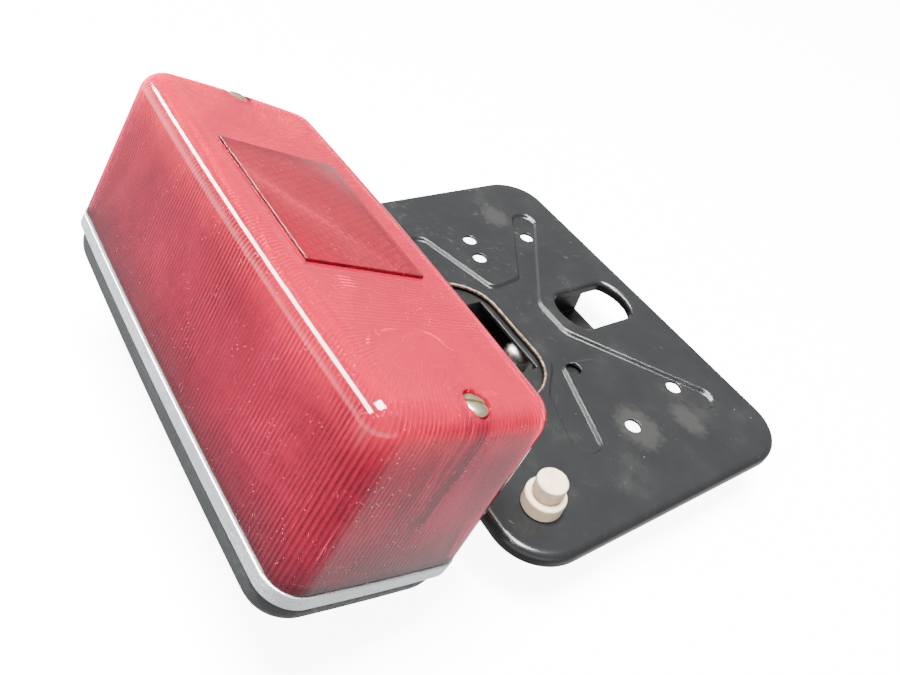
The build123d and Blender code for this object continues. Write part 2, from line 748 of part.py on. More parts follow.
def plate_window():
    """Clear insert that lights the number plate."""
    return lens_shell() & plate_window_box()


def screw_seals():
    """Rubber washers under the lens screw heads."""
    rings = [rod(screw_well_r - 0.15, screw_seat_z, screw_head_z, x)
             - rod(screw_r + screw_gap, screw_seat_z - 1, screw_head_z + 1, x) for x in (-screw_x, screw_x)]
    return Compound(children=rings)


def lens_screw(x, slot_angle):
    """Slotted cheese-head screw that clamps the lens to its post."""
    top = screw_head_z + screw_head_h
    head = fillet(edges_at(rod(screw_head_r, screw_head_z, top), top), 0.9)
    shank = rod(screw_r, screw_tip_z, screw_head_z + 1)
    shank = chamfer(edges_at(shank, screw_tip_z), 0.5)
    slot = block(-screw_head_r - 1, screw_head_r + 1, -screw_slot / 2, screw_slot / 2,
                 top - screw_slot_depth, top + 1)
    return Pos(x, 0, 0) * (head + shank - Rot(0, 0, slot_angle) * slot)


# ---------------------------------------------------------------- all nodes
row_nodes = {
    "number_plate_holder": number_plate_holder(),
    "rubber_buffers": rubber_buffers(),
    "mudguard_bracket": mudguard_bracket(),
    "bridge_strap": bridge_strap(),
    "captive_cap_nuts": captive_cap_nuts(),
}
lamp_nodes = {
    "lamp_base": lamp_base(),
    "trim_ring": trim_ring(),
    "lens_gasket": lens_gasket(),
    "reflector": reflector(),
    "reflector_screws": reflector_screws(),
    "post_inserts": post_inserts(),
    "base_pad": base_pad(),
    "base_bolts": base_bolts(),
    "base_washers": base_washers(),
    "base_nuts": base_nuts(),
    "wire_grommet": wire_grommet(),
    "bulb_socket": bulb_socket(),
    "socket_insulator": socket_insulator(),
    "terminal_block": terminal_block(),
    "terminal_tabs": terminal_tabs(),
    "contact_spring": contact_spring(),
    "contact_disc": contact_disc(),
    "disc_contacts": disc_contacts(),
    "bulb_cap": bulb_cap(),
    "bulb_contacts": bulb_contacts(),
    "bulb_glass": bulb_glass(),
    "bulb_filaments": bulb_filaments(),
    "lens": lens(),
    "reflex_reflector": reflex_reflector(),
    "plate_window": plate_window(),
    "screw_seals": screw_seals(),
    "near_lens_screw": lens_screw(screw_x, 72),
    "far_lens_screw": lens_screw(-screw_x, 40),
}

os.makedirs("parts", exist_ok=True)
for name, shape in row_nodes.items():
    export_step(shape, f"parts/{name}.step")
for name, shape in lamp_nodes.items():
    export_step(in_lamp(shape), f"parts/{name}.step")
print(len(row_nodes) + len(lamp_nodes), "nodes written")
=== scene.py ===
import json
import logging
import math
from collections.abc import Sequence
from dataclasses import dataclass
from enum import Enum

import bmesh
import bpy
import numpy as np
from mathutils import Matrix, Vector


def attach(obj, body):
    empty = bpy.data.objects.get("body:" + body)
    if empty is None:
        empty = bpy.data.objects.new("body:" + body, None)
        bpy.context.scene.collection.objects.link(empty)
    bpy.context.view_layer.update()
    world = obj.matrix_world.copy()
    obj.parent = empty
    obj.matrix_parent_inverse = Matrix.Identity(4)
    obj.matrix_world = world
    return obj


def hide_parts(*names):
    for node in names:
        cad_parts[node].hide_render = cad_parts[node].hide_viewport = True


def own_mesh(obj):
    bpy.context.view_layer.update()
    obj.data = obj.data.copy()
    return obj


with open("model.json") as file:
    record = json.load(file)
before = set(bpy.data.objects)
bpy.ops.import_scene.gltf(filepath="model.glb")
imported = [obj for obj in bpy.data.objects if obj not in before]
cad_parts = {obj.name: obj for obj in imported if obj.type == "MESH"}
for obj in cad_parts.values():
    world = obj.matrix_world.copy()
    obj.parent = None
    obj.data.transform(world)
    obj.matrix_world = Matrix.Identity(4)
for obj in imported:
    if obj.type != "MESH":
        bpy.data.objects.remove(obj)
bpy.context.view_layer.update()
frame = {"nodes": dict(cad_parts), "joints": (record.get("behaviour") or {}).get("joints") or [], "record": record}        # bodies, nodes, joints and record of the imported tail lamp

LOG = logging.getLogger("tail_lamp")
# A Mix node has a set of sockets for each kind of data; these are the colour mix's own.
MIX_COLOUR_INPUTS = (0, 6, 7)
MIX_COLOUR_OUTPUT = 2
Colour = tuple[float, float, float]
Point = tuple[float, float, float]
Socket = bpy.types.NodeSocket
Value = float | Colour | Socket


class Body(Enum):
    """The bodies of the assembly that a new piece can ride on."""

    HOLDER = "holder"
    LENS = "lens_unit"
    NEAR_SCREW = "near_screw"
    FAR_SCREW = "far_screw"
    BULB = "bulb"


class Slot(Enum):
    """The finishes that the record names."""

    HOLDER_PAINT = "holder_paint"
    BRACKET_PAINT = "bracket_paint"
    CREAM_RUBBER = "cream_rubber"
    BLACK_RUBBER = "black_rubber"
    ZINC = "zinc"
    NICKEL = "nickel"
    BASE_PAINT = "base_paint"
    BRIGHT_TRIM = "bright_trim"
    WHITE_REFLECTOR = "white_reflector"
    BRASS = "brass"
    SOLDER = "solder"
    SPRING_STEEL = "spring_steel"
    BROWN_INSULATOR = "brown_insulator"
    CLEAR_GLASS = "clear_glass"
    RED_LENS = "red_lens"
    RED_REFLEX = "red_reflex"
    CLEAR_WINDOW = "clear_window"


# ---------------------------------------------------------------- node trees
class Shade:
    """A material's node tree, with a short call for each node that the finishes use."""

    def __init__(self, name: str) -> None:
        """Start an empty Principled material.

        Args:
            name: The material's name.
        """
        self.material = bpy.data.materials.new(name)
        self.material.use_nodes = True
        self.tree = self.material.node_tree
        self.tree.nodes.clear()
        self.output = self.tree.nodes.new("ShaderNodeOutputMaterial")
        self.shader = self.tree.nodes.new("ShaderNodeBsdfPrincipled")
        self.tree.links.new(self.shader.outputs["BSDF"], self.output.inputs["Surface"])
        self.place = self.add("ShaderNodeTexCoord").outputs["Object"]

    def add(self, kind: str, **settings: object) -> bpy.types.Node:
        """Add a node and set its own properties."""
        node = self.tree.nodes.new(kind)
        for key, setting in settings.items():
            setattr(node, key, setting)
        return node

    def feed(self, socket: Socket, value: Value) -> None:
        """Link a socket, or set its value.

        Args:
            socket: The input to feed.
            value: Another node's output, a number or a colour.
        """
        if isinstance(value, bpy.types.NodeSocket):
            self.tree.links.new(value, socket)
        elif isinstance(value, tuple) and socket.type == "RGBA":
            socket.default_value = (*value, 1.0)
        else:
            socket.default_value = value

    def surface(self, **values: Value) -> None:
        """Feed the Principled shader's inputs, named with _ for a space."""
        for key, value in values.items():
            self.feed(self.shader.inputs[key.replace("_", " ")], value)

    def stretch(self, factors: Point, turn: Point = (0, 0, 0), move: Point = (0, 0, 0)) -> Socket:
        """Object coordinates, scaled, turned and moved.

        Args:
            factors: Scale along each axis.
            turn: Rotation about each axis in radians.
            move: Shift along each axis.

        Returns:
            The mapped coordinates.
        """
        node = self.add("ShaderNodeMapping", vector_type="TEXTURE")
        self.feed(node.inputs["Vector"], self.place)
        node.inputs["Location"].default_value = move
        node.inputs["Rotation"].default_value = turn
        node.inputs["Scale"].default_value = tuple(1 / f for f in factors)
        return node.outputs["Vector"]

    def noise(self, scale: float, detail: float = 3.0, at: Socket | None = None,
              rough: float = 0.55) -> Socket:
        """Soft noise from 0 to 1, with its middle at about a half."""
        node = self.add("ShaderNodeTexNoise")
        self.feed(node.inputs["Vector"], at or self.place)
        node.inputs["Scale"].default_value = scale
        node.inputs["Detail"].default_value = detail
        node.inputs["Roughness"].default_value = rough
        return node.outputs["Fac"]

    def cells(self, scale: float, feature: str = "F1") -> Socket:
        """A Voronoi pattern's distance."""
        node = self.add("ShaderNodeTexVoronoi", feature=feature)
        self.feed(node.inputs["Vector"], self.place)
        node.inputs["Scale"].default_value = scale
        return node.outputs["Distance"]

    def step(self, value: Value, low: float, high: float, to_low: float = 0.0,
             to_high: float = 1.0) -> Socket:
        """A smooth step from to_low at low to to_high at high, held outside."""
        node = self.add("ShaderNodeMapRange", interpolation_type="SMOOTHSTEP")
        self.feed(node.inputs["Value"], value)
        for key, number in (("From Min", low), ("From Max", high), ("To Min", to_low), ("To Max", to_high)):
            node.inputs[key].default_value = number
        return node.outputs["Result"]

    def calc(self, operation: str, *values: Value) -> Socket:
        """A Math node."""
        node = self.add("ShaderNodeMath", operation=operation)
        for index, value in enumerate(values):
            self.feed(node.inputs[index], value)
        return node.outputs["Value"]

    def vector(self, operation: str, *values: Value, output: str = "Vector") -> Socket:
        """A Vector Math node."""
        node = self.add("ShaderNodeVectorMath", operation=operation)
        for index, value in enumerate(values):
            self.feed(node.inputs[index], value)
        return node.outputs[output]

    def mix(self, factor: Value, low: Value, high: Value) -> Socket:
        """Mix two colours."""
        node = self.add("ShaderNodeMix", data_type="RGBA")
        for index, value in zip(MIX_COLOUR_INPUTS, (factor, low, high)):
            self.feed(node.inputs[index], value)
        return node.outputs[MIX_COLOUR_OUTPUT]

    def times(self, value: Value, factor: Value) -> Socket:
        """A value times a factor."""
        return self.calc("MULTIPLY", value, factor)

    def plus(self, value: Value, other: Value) -> Socket:
        """The sum of two values."""
        return self.calc("ADD", value, other)

    def attribute(self, name: str) -> Socket:
        """A number that the piece's own mesh carries."""
        return self.add("ShaderNodeAttribute", attribute_name=name).outputs["Fac"]

    def spot(self, centre: Point, radii: Point, edge: float = 0.35, ragged: float = 0.5) -> Socket:
        """A patch that is 1 inside an uneven ellipsoid and fades to 0 outside.

        Args:
            centre: Its middle, in metres.
            radii: Its half sizes, in metres.
            edge: Width of its fade, as a share of its radius.
            ragged: How uneven its outline is.

        Returns:
            The patch's strength.
        """
        offset = self.vector("SUBTRACT", self.place, centre)
        size = self.vector("LENGTH", self.vector("DIVIDE", offset, radii), output="Value")
        wobble = self.calc("MULTIPLY_ADD", self.noise(420.0, 4.0), 2 * ragged, -ragged)
        return self.step(self.plus(size, wobble), 1.0 + edge, 1.0 - edge)

    def outline(self, centre: Point, half: Point, radius: float) -> Socket:
        """Distance outside a rounded rectangle in the XY plane, in metres, negative inside."""
        offset = self.vector("ABSOLUTE", self.vector("SUBTRACT", self.place, centre))
        corner = self.vector("SUBTRACT", offset, (half[0] - radius, half[1] - radius, 1.0))
        beyond = self.vector("LENGTH", self.vector("MAXIMUM", corner, (0, 0, 0)), output="Value")
        return self.calc("SUBTRACT", beyond, radius)

    def eased_edges(self, radius: float) -> Socket:
        """A normal that rounds every edge to the radius."""
        node = self.add("ShaderNodeBevel", samples=6)
        node.inputs["Radius"].default_value = radius
        return node.outputs["Normal"]

    def edge_mask(self, radius: float) -> Socket:
        """About 0 on flat faces, rising on edges and bends as tight as the radius."""
        flat = self.add("ShaderNodeNewGeometry").outputs["Normal"]
        alike = self.vector("DOT_PRODUCT", self.eased_edges(radius), flat, output="Value")
        return self.calc("SUBTRACT", 1.0, alike)

    def bump(self, height: Value, distance: float, strength: float = 1.0,
             under: Socket | None = None) -> Socket:
        """A normal bent by a height.

        Args:
            height: The pattern, 0 to 1.
            distance: Metres that a height of 1 stands for.
            strength: Share of the effect.
            under: A normal to bend further.

        Returns:
            The new normal.
        """
        node = self.add("ShaderNodeBump")
        self.feed(node.inputs["Height"], height)
        node.inputs["Distance"].default_value = distance
        node.inputs["Strength"].default_value = strength
        if under is not None:
            self.feed(node.inputs["Normal"], under)
        return node.outputs["Normal"]

    def scratches(self, directions: Sequence[Point], scale: float, fineness: float, cover: float) -> Socket:
        """Thin lines in a few directions, broken up along their length.

        Args:
            directions: Euler turns, one for each family of lines.
            scale: Lines per metre, about.
            fineness: How many times longer than wide they are.
            cover: Share of the noise that becomes a line, 0 to 1.

        Returns:
            1 on a line, 0 elsewhere.
        """
        total: Value = 0.0
        for index, turn in enumerate(directions):
            at = self.stretch((1.0, fineness, 1.0), turn, (0.013 * index, 0.007, 0.021 * index))
            line = self.noise(scale / fineness, 2.0, at, 0.75)
            total = self.calc("MAXIMUM", total, self.step(line, 0.72 - cover * 0.2, 0.80 - cover * 0.2))
        gaps = self.step(self.noise(90.0, 2.0), 0.42, 0.62)
        return self.times(total, gaps)


class Grow:
    """A Geometry Nodes tree with named inputs for its sizes."""

    def __init__(self, name: str) -> None:
        """Start a tree with a geometry input and output.

        Args:
            name: The tree's name.
        """
        self.tree = bpy.data.node_groups.new(name, "GeometryNodeTree")
        self.values: dict[str, float] = {}
        for way in ("INPUT", "OUTPUT"):
            self.tree.interface.new_socket("Geometry", in_out=way, socket_type="NodeSocketGeometry")
        self.start = self.tree.nodes.new("NodeGroupInput")
        self.end = self.tree.nodes.new("NodeGroupOutput")

    def size(self, name: str, value: float) -> Socket:
        """Declare a named input and give its value."""
        self.tree.interface.new_socket(name, in_out="INPUT", socket_type="NodeSocketFloat")
        self.values[name] = value
        return self.start.outputs[name]

    def add(self, kind: str, links: dict[str | int, Value] | None = None,
            **settings: object) -> bpy.types.Node:
        """Add a node.

        Args:
            kind: Blender's name for it.
            links: Values for its inputs, by name or index.
            settings: Its own properties.

        Returns:
            The node.
        """
        node = self.tree.nodes.new(kind)
        for key, setting in settings.items():
            setattr(node, key, setting)
        for key, value in (links or {}).items():
            if isinstance(value, bpy.types.NodeSocket):
                self.tree.links.new(value, node.inputs[key])
            else:
                node.inputs[key].default_value = value
        return node

    def calc(self, operation: str, *values: Value) -> Socket:
        """A Math node."""
        return self.add("ShaderNodeMath", dict(enumerate(values)), operation=operation).outputs[0]

    def named(self, attribute: str) -> Socket:
        """A number that the mesh carries."""
        node = self.add("GeometryNodeInputNamedAttribute", {"Name": attribute}, data_type="FLOAT")
        return node.outputs["Attribute"]

    def grow(self, seed_mesh: bpy.types.Mesh, result: Socket, finish: bpy.types.Material,
             name: str) -> bpy.types.Mesh:
        """Close the tree, run it on a mesh and keep the plain result.

        Args:
            seed_mesh: What the tree starts from.
            result: The geometry to end with.
            finish: The material that it gets.
            name: The new mesh's name.

        Returns:
            A mesh with no modifier.
        """
        real = self.add("GeometryNodeRealizeInstances", {"Geometry": result})
        painted = self.add("GeometryNodeSetMaterial", {"Geometry": real.outputs[0], "Material": finish})
        self.tree.links.new(painted.outputs[0], self.end.inputs[0])
        host = bpy.data.objects.new(name + "_seed", seed_mesh)
        bpy.context.scene.collection.objects.link(host)
        modifier = host.modifiers.new("grow", "NODES")
        modifier.node_group = self.tree
        for item in self.tree.interface.items_tree:
            if item.in_out == "INPUT" and item.name in self.values:
                modifier[item.identifier] = self.values[item.name]
        evaluated = host.evaluated_get(bpy.context.evaluated_depsgraph_get())
        mesh = bpy.data.meshes.new_from_object(evaluated)
        mesh.name = name
        bpy.data.objects.remove(host)
        return mesh


# ---------------------------------------------------------------- finishes
@dataclass(frozen=True)
class Finish:
    """A material with one colour that varies softly, the base of all the others."""

    name: str
    colour: Colour
    second: Colour
    roughness: float = 0.5
    metal: float = 0.0
    grain: float = 600.0
    relief: float = 0.00004

    def make(self) -> bpy.types.Material:
        """Build the material."""
        shade = Shade(self.name)
        self.dress(shade)
        return shade.material

    def dress(self, shade: Shade) -> None:
        """Feed the shader."""
        cloud = shade.noise(self.grain / 8, 5.0)
        fine = shade.noise(self.grain, 4.0)
        shade.surface(Base_Color=shade.mix(shade.step(cloud, 0.35, 0.7), self.colour, self.second),
                      Metallic=self.metal, Normal=shade.bump(fine, self.relief),
                      Roughness=shade.step(fine, 0.3, 0.75, self.roughness * 0.8, self.roughness * 1.3))


@dataclass(frozen=True)
class PlatedMetal(Finish):
    """Plated or bare metal with turning marks, stains and bright worn edges."""

    stain: Colour = (0.12, 0.10, 0.07)
    stained: float = 0.35

    def dress(self, shade: Shade) -> None:
        """Feed the shader."""
        cloud = shade.noise(self.grain / 3, 5.0)
        fine = shade.noise(self.grain * 3, 3.0)
        dirt = shade.step(cloud, 0.62 - 0.2 * self.stained, 0.78, 0.0, self.stained)
        tone = shade.mix(shade.step(fine, 0.3, 0.7), self.colour, self.second)
        shade.surface(Base_Color=shade.mix(dirt, tone, self.stain), Metallic=self.metal,
                      Roughness=shade.step(cloud, 0.3, 0.75, self.roughness * 0.7, self.roughness * 1.6),
                      Normal=shade.bump(fine, self.relief))


@dataclass(frozen=True)
class HolderSizes:
    """Where the number-plate holder's large window is, in metres."""

    window_y: float = -0.00525
    window_half_x: float = 0.035
    window_half_y: float = 0.02175
    window_corner: float = 0.0205


@dataclass(frozen=True)
class BlackStoving(Finish):
    """Black stoving paint on pressed steel: scratched, chipped at edges and dull round its bolt holes."""

    chip: Colour = (0.085, 0.068, 0.045)
    dust: Colour = (0.019, 0.0185, 0.0165)
    scraped: Colour = (0.05, 0.05, 0.049)
    rust: Colour = (0.10, 0.055, 0.03)
    bare_steel: Colour = (0.24, 0.19, 0.13)
    plate_worn: bool = True
    top_z: float = 0.028
    worn_radius: float = 0.0007
    edge_radius: float = 0.0009

    def dress(self, shade: Shade) -> None:
        """Feed the shader."""
        cloud = shade.noise(60.0, 5.0)
        orange_peel = shade.noise(900.0, 2.0)
        edges = shade.edge_mask(self.worn_radius)
        bite = shade.noise(260.0, 5.0, None, 0.7)
        chips = shade.times(shade.step(edges, 0.16, 0.40), shade.step(bite, 0.66, 0.72))
        pits = shade.step(shade.cells(300.0), 0.10, 0.05)
        sparse = shade.step(shade.noise(45.0, 2.0, None, 0.4), 0.60, 0.68)
        chips = shade.calc("MAXIMUM", chips, shade.times(pits, sparse))
        scratch = shade.scratches(((0, 0, 0.5), (0, 0, -0.7), (0, 0, 1.4)), 5200.0, 40.0, 0.22)
        dull: Value = shade.step(cloud, 0.54, 0.78, 0.0, 0.35)
        if self.plate_worn:
            for centre, radii in self.worn_patches():
                dull = shade.calc("MAXIMUM", dull, shade.times(shade.spot(centre, radii), 0.55))
        tone = shade.mix(shade.step(cloud, 0.3, 0.7), self.colour, self.second)
        tone = shade.mix(dull, tone, self.dust)
        tone = shade.mix(shade.times(scratch, 0.35), tone, self.scraped)
        tone = shade.mix(chips, tone, self.chip)
        if self.plate_worn:
            tone = self.bare_window_edge(shade, tone, bite)
        rough = shade.plus(shade.times(dull, 0.30), self.roughness)
        rough = shade.plus(rough, shade.times(chips, 0.3))
        relief = shade.bump(orange_peel, 0.00003, 0.7, shade.eased_edges(self.edge_radius))
        relief = shade.bump(shade.plus(scratch, chips), -0.00008, 0.8, relief)
        shade.surface(Base_Color=tone, Roughness=rough, Normal=relief, Metallic=0.0, Specular_IOR_Level=0.36)

    def worn_patches(self) -> list[tuple[Point, Point]]:
        """Middles and half sizes of the places that a bolt head or a plate has rubbed dull."""
        z = self.top_z
        return [((0.0640, 0.0310, z), (0.0105, 0.0080, 0.003)),
                ((0.0690, 0.0545, z), (0.0085, 0.0050, 0.003)),
                ((-0.0700, 0.0560, z), (0.0080, 0.0060, 0.003))]

    def bare_window_edge(self, shade: Shade, tone: Socket, bite: Socket) -> Socket:
        """Bare rusty steel on the cut edge of the large window."""
        window = HolderSizes()
        gap = shade.outline((0.0, window.window_y, 0.0), (window.window_half_x, window.window_half_y, 1.0),
                            window.window_corner)
        rim = shade.plus(shade.calc("ABSOLUTE", gap), shade.calc("MULTIPLY_ADD", bite, -0.0016, 0.0007))
        raw = shade.step(rim, 0.0007, 0.0003)
        rust = shade.mix(shade.step(shade.noise(700.0), 0.4, 0.6), self.rust, self.bare_steel)
        return shade.mix(raw, tone, rust)


@dataclass(frozen=True)
class BrightBand(Finish):
    """Bright rolled trim with fine pitting, dull streaks and painted highlights along its edges."""

    streak: Colour = (0.56, 0.60, 0.65)
    pit: Colour = (0.20, 0.19, 0.16)
    # Painted highlight colour for the trim's edges.
    edge_glint: Colour = (0.95, 0.96, 0.97)

    def dress(self, shade: Shade) -> None:
        """Feed the shader."""
        specks = shade.step(shade.cells(1500.0), 0.34, 0.16)
        patches = shade.step(shade.noise(70.0, 4.0), 0.40, 0.66)
        grit = shade.noise(2600.0, 3.0, None, 0.8)
        pits = shade.times(specks, shade.step(shade.noise(330.0), 0.42, 0.56))
        tone = shade.mix(shade.step(grit, 0.35, 0.68), self.colour, self.second)
        tone = shade.mix(shade.times(patches, 0.35), tone, self.streak)
        tone = shade.mix(shade.times(pits, 0.7), tone, self.pit)
        rough = shade.plus(shade.step(grit, 0.3, 0.7, self.roughness, self.roughness + 0.22),
                           shade.times(pits, 0.3))
        # Painted highlight: the trim's edges are mixed towards near white, standing in for glints of light.
        painted_glints = shade.step(shade.edge_mask(0.0005), 0.02, 0.20)
        tone = shade.mix(shade.times(painted_glints, 0.8), tone, self.edge_glint)
        uneven = shade.bump(shade.noise(150.0, 3.0), 0.00015, 0.6)
        shade.surface(Base_Color=tone, Metallic=self.metal, Roughness=rough,
                      Normal=shade.bump(shade.calc("SUBTRACT", grit, pits), 0.00007, 0.8, uneven))


@dataclass(frozen=True)
class AgedRubber(Finish):
    """Aged rubber with moulding grain, darkened creases and fine cracks."""

    grime: Colour = (0.20, 0.12, 0.08)
    soft: float = 0.0

    def dress(self, shade: Shade) -> None:
        """Feed the shader."""
        cloud = shade.noise(240.0, 5.0)
        fine = shade.noise(1600.0, 4.0)
        streaks = shade.noise(420.0, 4.0, shade.stretch((1.0, 1.0, 0.22)))
        cracks = shade.step(shade.cells(650.0, "DISTANCE_TO_EDGE"), 0.05, 0.0)
        tone = shade.mix(shade.step(cloud, 0.35, 0.68), self.colour, self.second)
        tone = shade.mix(shade.step(streaks, 0.60, 0.75, 0.0, 0.45), tone, self.grime)
        tone = shade.mix(shade.times(cracks, 0.25), tone, self.grime)
        relief = shade.calc("SUBTRACT", fine, shade.times(cracks, 0.6))
        shade.surface(Base_Color=tone, Normal=shade.bump(relief, 0.00008), Specular_IOR_Level=0.35,
                      Roughness=shade.step(fine, 0.3, 0.7, self.roughness * 0.85, self.roughness * 1.1),
                      Subsurface_Weight=self.soft, Subsurface_Scale=0.002)


@dataclass(frozen=True)
class RedAcrylic(Finish):
    """Clear red moulded acrylic, rubbed and scratched on its outside, with its flutes showing through and
    painted shade along them, a painted highlight towards its top and painted shade on the reflector cover's
    sides.
    """

    dark: Colour = (0.050, 0.0012, 0.0060)
    foot_tone: Colour = (0.150, 0.020, 0.038)
    # Painted light colour for the upper walls and the top face.
    bright: Colour = (0.66, 0.0010, 0.050)
    mark: Colour = (0.62, 0.16, 0.20)
    clear: float = 0.7
    # Strength of the painted shade stripes along the flutes.
    fluted: float = 0.85
    honeycomb: float = 0.0
    # Strength of the painted shade on the reflector cover's side faces.
    flank_shade: float = 0.85

    def dress(self, shade: Shade) -> None:
        """Feed the shader."""
        lamp = LampFrame.read()
        offset = shade.vector("SUBTRACT", shade.place, tuple(lamp.origin))
        height = shade.vector("DOT_PRODUCT", offset, tuple(lamp.axis), output="Value")
        outside = shade.attribute("outside")
        wave = shade.attribute("wave")
        cloud = shade.noise(26.0, 4.0)
        aslant = shade.stretch((1.0, 1.0, 0.5), (0.4, 0.3, 0.2))
        patchy = shade.step(shade.noise(30.0, 3.0, aslant), 0.36, 0.60)
        # Painted shade: dark stripes along the flute valleys, on top of the real flute geometry.
        wavy = shade.calc("MULTIPLY_ADD", shade.noise(300.0, 2.0), 0.5, -0.25)
        valley = shade.step(shade.plus(wave, wavy), 0.85, 0.20)
        side = shade.step(height, 0.0579, 0.0530, 0.15, 1.0)
        painted_flute_shade = shade.times(shade.times(valley, side), shade.calc("MULTIPLY_ADD", patchy, 0.6, 0.4))
        tone = shade.mix(shade.step(cloud, 0.3, 0.7), self.colour, self.second)
        # Painted light: the upper walls and the top face are mixed towards a brighter red.
        tone = shade.mix(shade.step(height, 0.0400, 0.0545), tone, self.bright)
        # Darker, greyer red towards the foot of the lens, with a ragged edge.
        ragged = shade.calc("MULTIPLY_ADD", cloud, 0.016, -0.008)
        foot = shade.step(shade.plus(height, ragged), 0.020, 0.001)
        tone = shade.mix(shade.times(foot, 0.75), tone, self.foot_tone)
        tone = shade.mix(shade.times(painted_flute_shade, self.fluted), tone, self.dark)
        if self.honeycomb:
            tone = shade.mix(self.cell_rows(shade, lamp, offset), tone, self.dark)
        # Painted shade: the reflector cover's side faces are mixed towards dark red.
        shaded_flank = shade.attribute("shaded_flank")
        tone = shade.mix(shade.times(shaded_flank, self.flank_shade), tone, self.dark)
        rubbed = shade.noise(130.0, 5.0, shade.stretch((1.0, 1.0, 0.4)))
        haze = shade.times(shade.step(rubbed, 0.52, 0.75), outside)
        haze = shade.times(haze, shade.step(height, 0.0560, 0.0500))
        scratch = shade.scratches(((0.5, 0, 0.9), (-0.4, 0.6, 0.2), (0.2, 1.2, -0.6)), 15000.0, 90.0, 0.18)
        dots = shade.step(shade.cells(700.0), 0.14, 0.06)
        specks = shade.times(dots, shade.step(shade.noise(80.0), 0.50, 0.60))
        marks = shade.times(shade.calc("MAXIMUM", scratch, specks), outside)
        tone = shade.mix(shade.times(marks, 0.45), tone, self.mark)
        rough = shade.plus(shade.times(haze, 0.10), self.roughness)
        rough = shade.plus(rough, shade.times(marks, 0.3))
        relief = shade.bump(shade.noise(16.0, 1.0), 0.0003, 0.3)
        relief = shade.bump(marks, -0.00002, 0.7, relief)
        shade.surface(Base_Color=tone, Roughness=rough, Normal=relief, IOR=1.49,
                      Transmission_Weight=self.clear)

    def cell_rows(self, shade: Shade, lamp: "LampFrame", offset: Socket) -> Socket:
        """Faint staggered rows of cell walls that show through the reflector's cover."""
        pitch = ReflexSizes().cell
        row_gap = pitch * math.sqrt(3) / 2
        along = shade.vector("DOT_PRODUCT", offset, (1.0, 0.0, 0.0), output="Value")
        sideways = tuple(lamp.axis.cross(Vector((1, 0, 0))))
        across = shade.vector("DOT_PRODUCT", offset, sideways, output="Value")
        row = shade.calc("DIVIDE", across, row_gap)
        stagger = shade.times(shade.calc("FLOORED_MODULO", shade.calc("FLOOR", row), 2.0), 0.5)
        column = shade.plus(shade.calc("DIVIDE", along, pitch), stagger)
        waves = [shade.calc("ABSOLUTE", shade.calc("SINE", shade.times(count, math.pi)))
                 for count in (row, column)]
        wall = shade.step(shade.calc("MINIMUM", *waves), 0.50, 0.15)
        patchy = shade.step(shade.noise(60.0, 3.0), 0.35, 0.65, 0.35, 1.0)
        return shade.times(shade.times(wall, patchy), self.honeycomb)


@dataclass(frozen=True)
class ClearPart(Finish):
    """Glass or clear plastic with faint smears."""

    def dress(self, shade: Shade) -> None:
        """Feed the shader."""
        smear = shade.noise(120.0, 4.0, shade.stretch((1.0, 0.35, 1.0)))
        shade.surface(Base_Color=shade.mix(shade.step(smear, 0.4, 0.75), self.colour, self.second),
                      Roughness=shade.step(smear, 0.45, 0.8, self.roughness, self.roughness + 0.18),
                      Transmission_Weight=1.0, IOR=1.5, Normal=shade.bump(smear, self.relief, 0.5))


